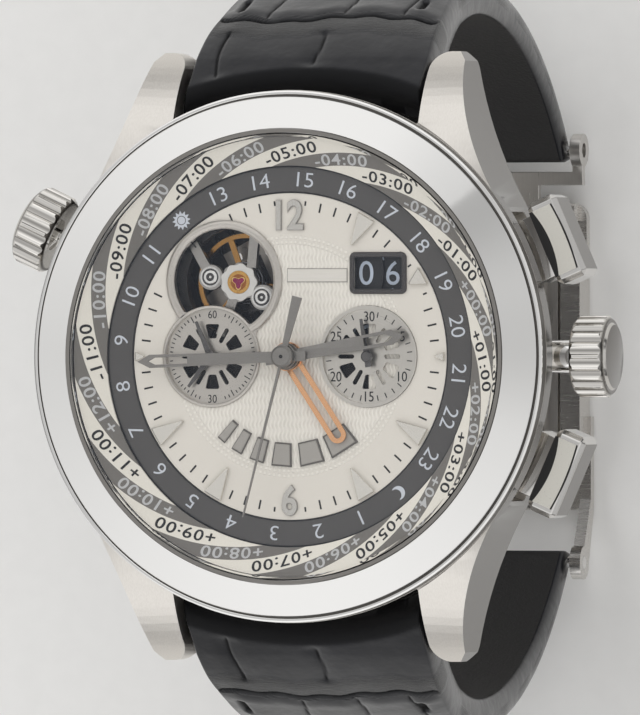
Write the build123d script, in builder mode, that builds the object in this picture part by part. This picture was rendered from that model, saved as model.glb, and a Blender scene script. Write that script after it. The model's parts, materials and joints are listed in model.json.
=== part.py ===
from build123d import *
import math
import os

os.makedirs("parts", exist_ok=True)

# All sizes are millimetres. Height 0 is the outer face of the back glass, the dial faces up,
# 12 o'clock is towards +Y and 3 o'clock towards +X. Clock angles run clockwise from 12.

# Fits and the one overrun that all cuts share
running_fit = 0.05
seat_fit = 0.02
strap_clearance = 0.3
overrun = 1.0

# Movement and case, from the inside out
movement_radius = 16.0
movement_ring_wall = 2.15
ring_outer_radius = movement_radius + movement_ring_wall
cavity_radius = ring_outer_radius + running_fit
case_wall = 4.8
case_radius = cavity_radius + case_wall
case_top = 10.8
case_foot = 1.6
case_foot_inset = 3.4
case_foot_radius = case_radius - case_foot_inset
band_height = 2.2
band_foot = case_top - band_height
band_step = 0.4
flank_inset = 1.55
flank_middle_radius = case_radius - flank_inset
flank_middle_height = 4.75
ring_bore_step = 0.8
ring_bore_radius = cavity_radius + ring_bore_step
ring_ledge = 8.0
stem_height = 6.5

# Lugs
lug_gap = 22.2
lug_root_depth = 11.0
lug_root_y = case_radius - lug_root_depth
lug_reach = 3.4
lug_tip_y = case_radius + lug_reach
lug_shoulder = 1.6
lug_shoulder_x = lug_gap / 2 + lug_shoulder
lug_corner_length = 1.4
lug_corner_y = lug_tip_y - lug_corner_length
lug_root_x_share = 0.887
lug_root_y_share = 0.452
lug_round_x_share = 0.3
lug_round_y_share = 0.7
lug_flat_width = 0.7
lug_flat_x = lug_shoulder_x + lug_flat_width
lug_bevel_width = 0.7
lug_outer_x = lug_flat_x + lug_bevel_width
lug_bevel_length = 0.8
lug_bevel_y = lug_tip_y - lug_bevel_length
lug_waist_width = 4.3
lug_waist_x = lug_gap / 2 + lug_waist_width
lug_waist_drop = 2.6
lug_waist_y = case_radius - lug_waist_drop
lug_root_x = case_radius * lug_root_x_share
lug_root_outer_y = case_radius * lug_root_y_share
lug_top_drop = 0.5
lug_mid_length = 3.6
lug_mid_y = lug_tip_y - lug_mid_length
lug_mid_drop = 2.1
lug_tip_top = 4.3
lug_tip_middle = 3.0
lug_tip_foot = 1.2
lug_root_foot = 2.3
lug_underside_y = lug_tip_y - lug_corner_length

# Bezel and glass
bezel_step = 0.5
bezel_step_radius = case_radius - bezel_step
bezel_skirt_radius = case_radius - running_fit
bezel_skirt_height = 1.0
bezel_skirt_top = case_top + bezel_skirt_height
bezel_lip = 0.3
bezel_slope_foot = bezel_skirt_top + bezel_lip
bezel_slope_height = 1.1
bezel_top = bezel_slope_foot + bezel_slope_height
glass_seat_width = 0.65
bezel_inner_radius = ring_bore_radius + glass_seat_width
glass_gasket_width = 0.35
glass_radius = bezel_inner_radius - glass_gasket_width
glass_seat_depth = 0.3
glass_seat = bezel_top - glass_seat_depth
glass_proud = 0.35
glass_edge_top = bezel_top + glass_proud
glass_bevel = 0.3
glass_thickness = 1.6
glass_rise = 2.05
glass_crown = glass_edge_top + glass_rise

# Back
back_proud = 0.15
back_window_inset = 3.4
back_window_radius = cavity_radius - back_window_inset
back_glass_lap = 0.8
back_glass_radius = back_window_radius + back_glass_lap
back_glass_thickness = 1.2
back_flange_inset = 0.2
back_flange_radius = case_foot_radius - back_flange_inset
back_spigot_wall = 1.8
back_spigot_inner = cavity_radius - back_spigot_wall
back_spigot_top = 3.0
back_notch_width = 2.4
back_notch_depth = 0.7
back_notch_count = 6
back_gasket_inset = 0.2
back_gasket_inner = cavity_radius + back_gasket_inset
back_gasket_width = 0.6
back_gasket_outer = back_gasket_inner + back_gasket_width
back_gasket_height = 0.3

# Movement
movement_ring_top = 7.9
plate_flange_width = 1.1
plate_flange_radius = movement_radius + plate_flange_width
plate_flange_top = 8.3
plate_foot = 8.0
plate_top = 9.2
bridge_inset = 0.6
bridge_radius = movement_radius - bridge_inset
bridge_foot = 3.9
bridge_top = 5.3
bridge_window_radius = 3.85
bridge_window_share = 2
bridge_arm_share = 1.7
pillar_radius = 1.1
pillar_inset = 1.6
pillar_circle = bridge_radius - pillar_inset
rotor_inset = 1.4
rotor_radius = movement_radius - rotor_inset
rotor_foot = 1.75
rotor_rim_width = 3.4
rotor_rim_inner = rotor_radius - rotor_rim_width
rotor_web_foot = 2.9
rotor_top = 3.4
rotor_boss_radius = 2.6
bearing_radius = 1.4
bearing_flange_radius = 2.0
bearing_flange_height = 0.35
bearing_slot_width = 0.4

# Dial
dial_inset = 2.02
dial_radius = movement_radius - dial_inset
dial_top = 10.6
dial_thickness = 0.5
dial_foot_radius = 0.45
dial_foot_inset = 0.78
dial_foot_circle = dial_radius - dial_foot_inset
dial_hole_radius = 1.1
counter_distance = 7.0
counter_radius = 4.35
counter_rim_width = 0.3
counter_floor = 10.35
counter_thickness = 0.25
counter_rim_top = 10.75
window_inner_radius = 1.55
window_outer_radius = 2.77
window_inner_width = 0.67
window_outer_width = 1.29
window_corner_radius = 0.16
slot_inner_radius = 1.35
slot_outer_radius = 2.75
slot_width = 0.36
heart_x = -5.87
heart_y = 6.5
heart_outer_radius = 5.19
heart_inner_radius = 4.45
frame_fillet = 0.8
frame_corner_radius = 0.28

# Applied pieces on the dial
marker_margin = 0.2
marker_outer = dial_radius - marker_margin
marker_length = 2.75
marker_inner = marker_outer - marker_length
short_marker_length = 0.8
marker_inner_short = marker_outer - short_marker_length
date_marker_length = 1.4
marker_inner_date = marker_outer - date_marker_length
marker_inner_width = 0.15
marker_outer_width = 1.65
short_marker_width = 0.75
marker_height = 0.35
marker_edge = 0.05
marker_bevel = 0.12
reserve_block_inner = 7.5
reserve_block_outer = 9.3
reserve_block_height = 0.3
date_x = 7.89
date_y = 7.13
date_frame_width = 5.1
date_frame_height = 3.6
date_window_width = 4.2
date_window_height = 2.7
date_frame_top = 10.85
date_frame_corner = 0.5
date_window_corner = 0.2

# Rotating rings
ring_gap = 0.06
hour_ring_inner = dial_radius + ring_gap
hour_ring_width = 2.26
hour_ring_outer = hour_ring_inner + hour_ring_width
hour_ring_top = 10.7
hour_ring_thickness = 0.35
hour_ring_skirt_inset = 0.36
hour_ring_skirt_inner = hour_ring_inner + hour_ring_skirt_inset
hour_ring_skirt_width = 1.0
hour_ring_skirt_outer = hour_ring_skirt_inner + hour_ring_skirt_width
hour_ring_clearance = 0.15
hour_ring_foot = plate_top + hour_ring_clearance
city_ring_inner = hour_ring_outer + running_fit
city_ring_gap = 0.1
city_ring_outer = ring_bore_radius - city_ring_gap
city_ring_low = 11.0
city_ring_high = 12.5
city_ring_edge = 0.25
city_skirt_inset = 0.95
city_skirt_inner = city_ring_inner + city_skirt_inset
city_skirt_foot = ring_ledge + city_ring_gap
city_tooth_count = 60
city_tooth_depth = 0.35
city_tooth_gap = 0.9
city_tooth_outer = cavity_radius - city_ring_gap

# Hands
reserve_hand_foot = 11.0
hand_thickness = 0.2
hour_hand_foot = 11.5
minute_hand_foot = 12.1
seconds_hand_foot = 12.65
post_radius = 0.25
seconds_tube_outer = 0.25
minute_tube_inner = 0.31
minute_tube_outer = 0.46
hour_tube_inner = 0.52
hour_tube_outer = 0.68
reserve_tube_inner = 0.74
reserve_tube_outer = 0.92
reserve_boss_radius = 1.25
hour_boss_radius = 1.15
minute_boss_radius = 1.05
seconds_boss_radius = 0.95
boss_extra = 0.15
seconds_cap_top = 13.25
minute_hand_length = 13.2
minute_hand_root_width = 0.85
minute_hand_width = 1.15
minute_hand_lume_start = 8.7
minute_hand_lume_width = 0.6
hour_hand_length = 10.65
hour_hand_root_width = 0.9
hour_hand_width = 1.3
hour_hand_lume_start = 7.0
hour_hand_lume_width = 0.7
hand_point_length = 1.1
lume_tip_margin = 1.0
hand_tail = 1.9
seconds_hand_length = 14.2
seconds_hand_width = 0.25
seconds_tail_length = 5.27
seconds_tail_width = 0.88
seconds_tail_root_width = 0.4
reserve_hand_length = 8.75
reserve_hand_width = 1.5
reserve_bar_width = 0.42
counter_hand_foot = 10.95
counter_hand_thickness = 0.16
counter_hand_length = 3.25
counter_hand_root_width = 0.55
counter_hand_tip_width = 0.22
counter_hand_tail = 0.9
counter_boss_radius = 0.5
counter_boss_top = 11.3

# Wheels between the plates
centre_wheel_foot = 7.3
centre_wheel_radius = 4.0
third_wheel_foot = 6.3
third_wheel_radius = 2.6
fourth_wheel_foot = 5.6
fourth_wheel_radius = 2.6
wheel_thickness = 0.22
wheel_rim_width = 0.55
wheel_boss_radius = 0.7
wheel_spoke_width = 0.45
tooth_depth = 0.3
tooth_width = 0.2
pinion_radius = 0.42
pinion_length = 0.75
centre_arbor_gap = 0.8
arbor_radius = 0.18
fourth_pinion_foot = 6.15
third_pinion_foot = 7.1
third_pinion_radius = 0.5
third_x = -4.33
third_y = -1.57
escape_x = -4.35
escape_y = 1.5
escape_foot = 6.6
escape_radius = 1.9
escape_tooth_length = 0.55
escape_tooth_width = 0.16
escape_pinion_foot = 5.45
barrel_x = 6.2
barrel_y = -6.8
barrel_radius = 4.3
barrel_foot = 5.5
barrel_height = 2.0
barrel_tooth_ring_height = 0.4
barrel_arbor_radius = 0.8
bore_inset = 0.3

# Balance, its bridge and the shock setting
balance_x = -4.95
balance_y = 6.35
balance_radius = 4.15
balance_rim_width = 0.38
balance_foot = 7.15
balance_rim_height = 0.45
balance_arm_width = 0.5
balance_arm_height = 0.25
collet_radius = 0.5
collet_top = 8.0
staff_foot = 5.35
roller_radius = 0.8
roller_foot = 6.98
roller_thickness = 0.12
plate_heart_radius = 4.7
hairspring_height = 7.9
hairspring_wire_radius = 0.06
hairspring_pitch = 0.56
hairspring_start_radius = 0.85
hairspring_half_turns = 8
cock_hub_radius = 1.55
cock_lobe_radius = 0.45
cock_lobe_inset = 0.315
cock_foot = 8.75
cock_top = 9.35
cock_boss_radius = 1.08
cock_left_x = -7.46
cock_left_y = 6.78
cock_right_x = -2.83
cock_right_y = 5.05
cock_arm_end_x = -9.1
cock_arm_end_y = 9.7
cock_bar_start_x = -3.85
cock_bar_start_y = 7.6
cock_bar_end_x = -3.5
cock_bar_end_y = 11.2
cock_link_end_x = -6.6
cock_link_end_y = 1.8
cock_foot_end_x = 0.1
cock_foot_end_y = 4.0
cock_arm_width = 0.85
cock_bar_width = 0.8
screw_head_radius = 0.62
screw_head_height = 0.22
screw_slot_width = 0.18
screw_slot_depth = 0.1
shock_outer_radius = 0.98
shock_inner_radius = 0.62
shock_foot = 9.1
shock_top = 9.45
jewel_radius = 0.55
jewel_thickness = 0.2
lyre_wire_width = 0.12
lyre_thickness = 0.08
fork_share = 0.5
fork_foot = 6.6
fork_thickness = 0.25
fork_bar_width = 0.3
fork_reach = 1.85
fork_stone_reach = 0.42
fork_stone_spread = 0.85
fork_boss_radius = 0.35

# Date discs
units_x = 5.06
units_y = 6.4
units_radius = 5.55
units_foot = 9.35
tens_x = 3.55
tens_y = 7.13
tens_radius = 4.6
tens_foot = 9.7
disc_thickness = 0.2

# Crowns and pushers
crown_angle = 90
second_crown_angle = 295
crown_radius = 3.55
crown_stand = 1.6
crown_foot = case_radius + crown_stand
crown_length = 3.0
crown_dome_height = 0.25
crown_face_radius = 2.75
crown_edge = 0.35
crown_flute_radius = 0.5
crown_flute_inset = 0.28
crown_flute_count = 22
crown_socket_depth = 1.4
crown_tube_radius = 1.45
crown_tube_stand = 1.2
crown_tube_outer_end = case_radius + crown_tube_stand
stem_radius = 0.6
stem_collar_radius = 1.02
stem_inner_end = 8.0
city_pinion_radius = 1.52
city_pinion_teeth = 5
city_pinion_inset = 0.15
city_pinion_inner = city_skirt_inner - city_pinion_inset
stem_tip_length = 0.55
second_stem_inner_end = city_pinion_inner - stem_tip_length
city_pinion_length = 0.9
city_pinion_tooth_depth = 0.4
city_pinion_tooth_width = 0.55
lever_inner = 12.0
lever_thickness = 0.9
lever_width = 2.8
lever_foot = 5.45
lever_top = 7.2
pusher_angles = (66.5, 113.5)
pusher_width = 7.6
pusher_height = 4.4
pusher_sink = 0.6
pusher_inner = case_radius - pusher_sink
pusher_reach = 3.7
pusher_outer = case_radius + pusher_reach
pusher_pocket_depth = 1.8
pusher_pocket_floor = case_radius - pusher_pocket_depth
pusher_bevel = 0.45
pusher_neck_width = 5.6
pusher_neck_reach = 0.9
pusher_neck_end = case_radius + pusher_neck_reach
pusher_stem_radius = 0.9
pusher_stem_reach = 0.7
pusher_stem_end = cavity_radius - pusher_stem_reach
pusher_tube_radius = 1.5
pusher_tube_inset = 0.1
pusher_tube_inner_end = cavity_radius + pusher_tube_inset

# Strap
bar_inset = 2.1
bar_y = lug_tip_y - bar_inset
bar_z = 3.0
bar_radius = 0.85
bar_tip_radius = 0.45
bar_tip_length = 1.2
bar_body_margin = 0.1
strap_side_gap = 0.2
strap_head_half_width = lug_gap / 2 - strap_side_gap
strap_waist_half_width = 9.95
strap_waist_drop = 11.0
strap_clasp_half_width = 9.2
strap_head_thickness = 4.0
strap_middle_thickness = 3.4
strap_clasp_thickness = 2.8
strap_head_length = 6.2
strap_head_gap_middle = 3.0
strap_head_gap_side = 5.7
strap_head_reach = 9.5
strap_slope_angle = -45.6
strap_upper_radius = 26.0
strap_lower_radius = 39.1
strap_lower_turn_angle = 48.5

# Folding clasp
clasp_bar_radius = 0.6
clasp_bar_bore_gap = 0.05
clasp_ear_inner = 9.6
clasp_ear_thickness = 1.0
clasp_ear_radius = 1.5
cover_foot = -48.0
cover_thickness = 1.4
cover_half_length = 13.8
cover_half_width = 10.2
cover_rail_inner = 8.4
cover_rail_half_length = 9.0
cover_rail_top = -44.3
cover_bevel = 0.4
blade_thickness = 0.8
blade_half_width = 7.9
middle_blade_foot = -46.0
inner_blade_foot = -44.7
cover_hinge_y = 13.0
cover_hinge_z = -45.6
blade_hinge_y = -13.0
blade_hinge_z = -44.95
hinge_pin_radius = 0.45
hinge_ear_radius = 0.8
hinge_ear_thickness = 1.1
hinge_gap = 0.3
inner_blade_half_width = 6.5
cross_bar_y = 15.4
cross_bar_length = 1.2
button_half_length = 2.6
button_height = 1.6
button_foot = -46.9
button_inner = 8.75
button_outer = 10.8


def clock_x(radius, degrees):
    return radius * math.sin(math.radians(degrees))


def clock_y(radius, degrees):
    return radius * math.cos(math.radians(degrees))


def hand_plane(x, y, z, degrees):
    """A level plane whose own Y axis points along a clock angle."""
    turn = math.radians(degrees)
    return Plane(origin=(x, y, z), x_dir=(math.cos(turn), -math.sin(turn), 0), z_dir=(0, 0, 1))


def radial_plane(radius, degrees):
    """An upright plane that faces outwards at a clock angle, at the height of the stems."""
    turn = math.radians(degrees)
    origin = (clock_x(radius, degrees), clock_y(radius, degrees), stem_height)
    return Plane(origin=origin, x_dir=(math.cos(turn), -math.sin(turn), 0),
                 z_dir=(math.sin(turn), math.cos(turn), 0))


def dome_middle(side, rim, crown):
    """Half way point of a spherical dome's profile, with the dome's centre on the watch's axis."""
    rise = crown - rim
    sphere = (side ** 2 + rise ** 2) / (2 * rise)
    return (side / 2, crown - sphere + math.sqrt(sphere ** 2 - (side / 2) ** 2))


def save(piece, name):
    piece.part.label = name
    export_step(piece.part, f"parts/{name}.step")


def lug_form():
    """One lug at the upper right: its plan cut to its side profile."""
    shoulder = case_top - lug_top_drop
    half_gap = lug_gap / 2
    with BuildPart() as lug:
        with BuildSketch(Plane.XY.offset(case_foot - overrun)):
            with BuildLine():
                Line((half_gap, lug_root_y), (half_gap, lug_corner_y))
                ThreePointArc((half_gap, lug_corner_y),
                              (half_gap + (lug_shoulder_x - half_gap) * lug_round_x_share,
                               lug_corner_y + (lug_tip_y - lug_corner_y) * lug_round_y_share),
                              (lug_shoulder_x, lug_tip_y))
                Line((lug_shoulder_x, lug_tip_y), (lug_flat_x, lug_tip_y))
                Line((lug_flat_x, lug_tip_y), (lug_outer_x, lug_bevel_y))
                ThreePointArc((lug_outer_x, lug_bevel_y), (lug_waist_x, lug_waist_y),
                              (lug_root_x, lug_root_outer_y))
                Line((lug_root_x, lug_root_outer_y), (half_gap, lug_root_y))
            make_face()
        extrude(amount=case_top)
        with BuildSketch(Plane.YZ):
            with BuildLine():
                Line((lug_root_outer_y - overrun, lug_root_foot), (lug_root_outer_y - overrun, shoulder))
                Line((lug_root_outer_y - overrun, shoulder), (lug_root_y, shoulder))
                ThreePointArc((lug_root_y, shoulder), (lug_mid_y - overrun, case_top - lug_mid_drop),
                              (lug_tip_y, lug_tip_top))
                ThreePointArc((lug_tip_y, lug_tip_top), (lug_tip_y + bore_inset / 2, lug_tip_middle),
                              (lug_underside_y, lug_tip_foot))
                Line((lug_underside_y, lug_tip_foot), (lug_root_outer_y - overrun, lug_root_foot))
            make_face()
        extrude(amount=case_radius + overrun, mode=Mode.INTERSECT)
    return lug.part


def make_case_middle():
    lug = lug_form()
    with BuildPart() as case_middle:
        with BuildSketch(Plane.XZ):
            with BuildLine():
                Line((0, case_foot), (case_foot_radius, case_foot))
                ThreePointArc((case_foot_radius, case_foot), (flank_middle_radius, flank_middle_height),
                              (case_radius - band_step, band_foot))
                Line((case_radius - band_step, band_foot), (case_radius, band_foot + band_step))
                Line((case_radius, band_foot + band_step), (case_radius, case_top))
                Line((case_radius, case_top), (0, case_top))
                Line((0, case_top), (0, case_foot))
            make_face()
        revolve(axis=Axis.Z)
        add(lug)
        add(lug.mirror(Plane.YZ))
        add(lug.mirror(Plane.XZ))
        add(lug.mirror(Plane.YZ).mirror(Plane.XZ))
        with BuildSketch(Plane.XY.offset(case_foot)):
            Circle(cavity_radius)
        extrude(amount=case_top - case_foot, mode=Mode.SUBTRACT)
        with BuildSketch(Plane.XY.offset(ring_ledge)):
            Circle(ring_bore_radius)
        extrude(amount=case_top - ring_ledge, mode=Mode.SUBTRACT)
        for clock in (crown_angle, second_crown_angle):
            with BuildSketch(radial_plane(cavity_radius - overrun, clock)):
                Circle(crown_tube_radius)
            extrude(amount=case_radius - cavity_radius + overrun, mode=Mode.SUBTRACT)
        for clock in pusher_angles:
            with BuildSketch(radial_plane(pusher_pocket_floor, clock)):
                Rectangle(pusher_width + 2 * running_fit, pusher_height + 2 * running_fit)
            extrude(amount=case_radius - pusher_pocket_floor, mode=Mode.SUBTRACT)
            with BuildSketch(radial_plane(cavity_radius - overrun, clock)):
                Circle(pusher_tube_radius)
            extrude(amount=case_radius - cavity_radius, mode=Mode.SUBTRACT)
        for side in (bar_y, -bar_y):
            with BuildSketch(Plane.YZ.offset(-lug_gap / 2 - bar_tip_length)):
                with Locations((side, bar_z)):
                    Circle(bar_tip_radius + seat_fit)
            extrude(amount=lug_gap + 2 * bar_tip_length, mode=Mode.SUBTRACT)
    save(case_middle, "case_middle")


def make_bezel():
    with BuildPart() as bezel:
        with BuildSketch(Plane.XZ):
            with BuildLine():
                Polyline((ring_bore_radius, case_top), (ring_bore_radius, glass_seat),
                         (bezel_inner_radius, glass_seat), (bezel_inner_radius, bezel_top),
                         (bezel_step_radius, bezel_slope_foot), (bezel_step_radius, bezel_skirt_top),
                         (bezel_skirt_radius, bezel_skirt_top), (bezel_skirt_radius, case_top),
                         (ring_bore_radius, case_top))
            make_face()
        revolve(axis=Axis.Z)
    save(bezel, "bezel")


def make_crystal():
    underside = glass_crown - glass_thickness
    side = glass_radius - glass_bevel
    with BuildPart() as crystal:
        with BuildSketch(Plane.XZ):
            with BuildLine():
                Line((0, underside), (0, glass_crown))
                ThreePointArc((0, glass_crown), dome_middle(side, glass_edge_top, glass_crown),
                              (side, glass_edge_top))
                Line((side, glass_edge_top), (glass_radius, glass_edge_top - glass_bevel))
                Line((glass_radius, glass_edge_top - glass_bevel), (glass_radius, glass_seat))
                Line((glass_radius, glass_seat), (side, glass_seat))
                ThreePointArc((side, glass_seat), dome_middle(side, glass_seat, underside), (0, underside))
            make_face()
        revolve(axis=Axis.Z)
    save(crystal, "crystal")


def make_gaskets():
    with BuildPart() as gaskets:
        with BuildSketch(Plane.XY.offset(glass_seat)):
            Circle(bezel_inner_radius - seat_fit)
            Circle(glass_radius + seat_fit, mode=Mode.SUBTRACT)
        extrude(amount=bezel_top - glass_seat)
        with BuildSketch(Plane.XY.offset(case_foot - back_gasket_height)):
            Circle(back_gasket_outer)
            Circle(back_gasket_inner, mode=Mode.SUBTRACT)
        extrude(amount=back_gasket_height)
    save(gaskets, "gaskets")


def make_case_back():
    with BuildPart() as case_back:
        with BuildSketch(Plane.XY.offset(back_proud)):
            Circle(back_flange_radius)
        extrude(amount=case_foot - back_proud)
        chamfer(case_back.edges().group_by(Axis.Z)[0], back_notch_depth / 2)
        with BuildSketch(Plane.XY.offset(case_foot)):
            Circle(cavity_radius - running_fit)
        extrude(amount=back_spigot_top - case_foot)
        with BuildSketch(Plane.XY.offset(back_proud)):
            Circle(back_glass_radius + seat_fit)
        extrude(amount=back_glass_thickness - back_proud, mode=Mode.SUBTRACT)
        with BuildSketch(Plane.XY.offset(back_proud)):
            Circle(back_window_radius)
        extrude(amount=back_spigot_top, mode=Mode.SUBTRACT)
        with BuildSketch(Plane.XY.offset(case_foot)):
            Circle(back_spigot_inner)
        extrude(amount=back_spigot_top, mode=Mode.SUBTRACT)
        with BuildSketch(Plane.XY.offset(case_foot)):
            Circle(back_gasket_outer + seat_fit)
            Circle(back_gasket_inner - seat_fit, mode=Mode.SUBTRACT)
        extrude(amount=-back_gasket_height, mode=Mode.SUBTRACT)
        with BuildSketch(Plane.XY.offset(back_proud)):
            with PolarLocations(back_flange_radius, back_notch_count):
                Rectangle(back_notch_width, back_notch_width)
        extrude(amount=back_notch_depth, mode=Mode.SUBTRACT)
    save(case_back, "case_back")


def make_back_glass():
    with BuildPart() as back_glass:
        with BuildSketch(Plane.XY):
            Circle(back_glass_radius)
        extrude(amount=back_glass_thickness)
        chamfer(back_glass.edges().group_by(Axis.Z)[0], back_proud)
    save(back_glass, "back_glass")


def make_movement_ring():
    with BuildPart() as movement_ring:
        with BuildSketch(Plane.XY.offset(back_spigot_top)):
            Circle(ring_outer_radius)
            Circle(movement_radius + running_fit, mode=Mode.SUBTRACT)
        extrude(amount=movement_ring_top - back_spigot_top)
        for clock in pusher_angles:
            with BuildSketch(radial_plane(movement_radius - overrun, clock)):
                Circle(pusher_tube_radius)
            extrude(amount=ring_outer_radius, mode=Mode.SUBTRACT)
        with BuildSketch(radial_plane(movement_radius - overrun, crown_angle)):
            Circle(crown_tube_radius)
        extrude(amount=ring_outer_radius, mode=Mode.SUBTRACT)
        with BuildSketch(radial_plane(movement_radius - overrun, second_crown_angle)):
            Circle(city_pinion_radius + strap_clearance)
        extrude(amount=ring_outer_radius, mode=Mode.SUBTRACT)
    save(movement_ring, "movement_ring")


def make_spring_bars():
    inner_half = lug_gap / 2 - bar_body_margin
    with BuildPart() as spring_bars:
        for side in (bar_y, -bar_y):
            with BuildSketch(Plane.YZ.offset(-inner_half)):
                with Locations((side, bar_z)):
                    Circle(bar_radius)
            extrude(amount=2 * inner_half)
            with BuildSketch(Plane.YZ.offset(-lug_gap / 2 - bar_tip_length + seat_fit)):
                with Locations((side, bar_z)):
                    Circle(bar_tip_radius)
            extrude(amount=lug_gap + 2 * bar_tip_length - 2 * seat_fit)
    save(spring_bars, "spring_bars")


def make_stem_tubes():
    with BuildPart() as stem_tubes:
        for clock in (crown_angle, second_crown_angle):
            with BuildSketch(radial_plane(cavity_radius + seat_fit, clock)):
                Circle(crown_tube_radius - seat_fit)
                Circle(stem_radius + running_fit, mode=Mode.SUBTRACT)
            extrude(amount=crown_tube_outer_end - cavity_radius)
        for clock in pusher_angles:
            with BuildSketch(radial_plane(pusher_tube_inner_end, clock)):
                Circle(pusher_tube_radius - seat_fit)
                Circle(pusher_stem_radius + running_fit, mode=Mode.SUBTRACT)
            extrude(amount=pusher_pocket_floor - pusher_tube_inner_end)
    save(stem_tubes, "stem_tubes")


def counter_window():
    """One tapered window of a counter, on the X axis, with round corners."""
    with BuildSketch() as window:
        Polygon((window_inner_radius, -window_inner_width / 2), (window_outer_radius, -window_outer_width / 2),
                (window_outer_radius, window_outer_width / 2), (window_inner_radius, window_inner_width / 2),
                align=None)
        fillet(window.vertices(), window_corner_radius)
    return window.sketch


def counter_openings():
    """Six tapered windows and six slots between them, cut through the floor of a counter."""
    window = counter_window()
    with PolarLocations(0, 6, start_angle=90):
        add(window, mode=Mode.SUBTRACT)
    with PolarLocations((slot_inner_radius + slot_outer_radius) / 2, 6, start_angle=60):
        SlotOverall(slot_outer_radius - slot_inner_radius, slot_width, mode=Mode.SUBTRACT)


def make_dial():
    with BuildPart() as dial:
        with BuildSketch(Plane.XY.offset(dial_top - dial_thickness)):
            Circle(dial_radius)
            Circle(dial_hole_radius, mode=Mode.SUBTRACT)
            with Locations((counter_distance, 0), (-counter_distance, 0)):
                Circle(counter_radius + seat_fit, mode=Mode.SUBTRACT)
            with Locations((heart_x, heart_y)):
                Circle(heart_outer_radius - counter_rim_width, mode=Mode.SUBTRACT)
            with Locations((date_x, date_y)):
                Rectangle(date_window_width + strap_clearance, date_window_height + strap_clearance,
                          mode=Mode.SUBTRACT)
        extrude(amount=dial_thickness)
        with BuildSketch(Plane.XY.offset(plate_top)):
            for clock in (12, 100, 190, 280):
                with Locations((clock_x(dial_foot_circle, clock), clock_y(dial_foot_circle, clock))):
                    Circle(dial_foot_radius)
        extrude(amount=dial_top - dial_thickness - plate_top)
        with BuildSketch(Plane.XY.offset(tens_foot)):
            with Locations((tens_x, tens_y)):
                Circle(post_radius)
        extrude(amount=dial_top - dial_thickness - tens_foot)
    save(dial, "dial")


def heart_corners(piece, ring_radius):
    """The two upright edges where a round wall about the heart meets the wall of the seconds counter."""
    corners = []
    for edge in piece.edges().filter_by(Axis.Z):
        corner = edge.center()
        to_ring = math.hypot(corner.X - heart_x, corner.Y - heart_y) - ring_radius
        to_counter = math.hypot(corner.X + counter_distance, corner.Y) - counter_radius
        if abs(to_ring) < seat_fit and abs(to_counter) < seat_fit:
            corners.append(edge)
    return corners


def heart_window(floor):
    """The round window over the balance, cut by the seconds counter, as a plug to subtract."""
    with BuildPart() as window:
        with BuildSketch(Plane.XY.offset(floor)):
            with Locations((heart_x, heart_y)):
                Circle(heart_inner_radius)
            with Locations((-counter_distance, 0)):
                Circle(counter_radius, mode=Mode.SUBTRACT)
        extrude(amount=counter_rim_top - floor)
        fillet(heart_corners(window, heart_inner_radius), frame_corner_radius)
    return window.part


def make_heart_frame():
    floor = counter_floor - counter_thickness
    window = heart_window(floor)
    with BuildPart() as heart_frame:
        with BuildSketch(Plane.XY.offset(dial_top)):
            with Locations((heart_x, heart_y)):
                Circle(heart_outer_radius)
            with Locations((-counter_distance, 0)):
                Circle(counter_radius)
        extrude(amount=counter_rim_top - dial_top)
        fillet(heart_corners(heart_frame, heart_outer_radius), frame_fillet)
        with BuildSketch(Plane.XY.offset(dial_top)):
            with Locations((-counter_distance, 0)):
                Circle(counter_radius - counter_rim_width)
        extrude(amount=counter_rim_top - dial_top, mode=Mode.SUBTRACT)
        with BuildSketch(Plane.XY.offset(floor)):
            with Locations((-counter_distance, 0)):
                Circle(counter_radius)
                Circle(counter_radius - counter_rim_width, mode=Mode.SUBTRACT)
        extrude(amount=counter_rim_top - floor)
        with BuildSketch(Plane.XY.offset(floor)):
            with Locations((heart_x, heart_y)):
                Circle(heart_outer_radius - counter_rim_width - seat_fit)
            with Locations((-counter_distance, 0)):
                Circle(counter_radius, mode=Mode.SUBTRACT)
        extrude(amount=dial_top - floor)
        add(window, mode=Mode.SUBTRACT)
        with BuildSketch(Plane(origin=(-counter_distance, 0, floor))):
            Circle(counter_radius)
            Circle(post_radius + running_fit, mode=Mode.SUBTRACT)
            counter_openings()
        extrude(amount=counter_thickness)
    save(heart_frame, "heart_frame")


def make_minute_counter():
    floor = counter_floor - counter_thickness
    with BuildPart() as minute_counter:
        with BuildSketch(Plane(origin=(counter_distance, 0, floor))):
            Circle(counter_radius)
            Circle(post_radius + running_fit, mode=Mode.SUBTRACT)
            counter_openings()
        extrude(amount=counter_thickness)
        with BuildSketch(Plane(origin=(counter_distance, 0, floor))):
            Circle(counter_radius)
            Circle(counter_radius - counter_rim_width, mode=Mode.SUBTRACT)
        extrude(amount=counter_rim_top - floor)
    save(minute_counter, "minute_counter")


def make_hour_markers():
    inner_ends = {2: marker_inner_date, 3: marker_inner_short, 9: marker_inner_short}
    outer_widths = {3: short_marker_width, 9: short_marker_width}
    with BuildPart() as hour_markers:
        for hour in (1, 2, 3, 4, 5, 7, 8, 9):
            inner = inner_ends.get(hour, marker_inner)
            half_width = outer_widths.get(hour, marker_outer_width) / 2
            with BuildSketch(hand_plane(0, 0, dial_top, hour * 30)):
                Polygon((-marker_inner_width / 2, inner), (marker_inner_width / 2, inner),
                        (half_width, marker_outer), (-half_width, marker_outer), align=None)
            extrude(amount=marker_height)
        chamfer(hour_markers.edges().group_by(Axis.Z)[-1], marker_edge)
    save(hour_markers, "hour_markers")


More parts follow.
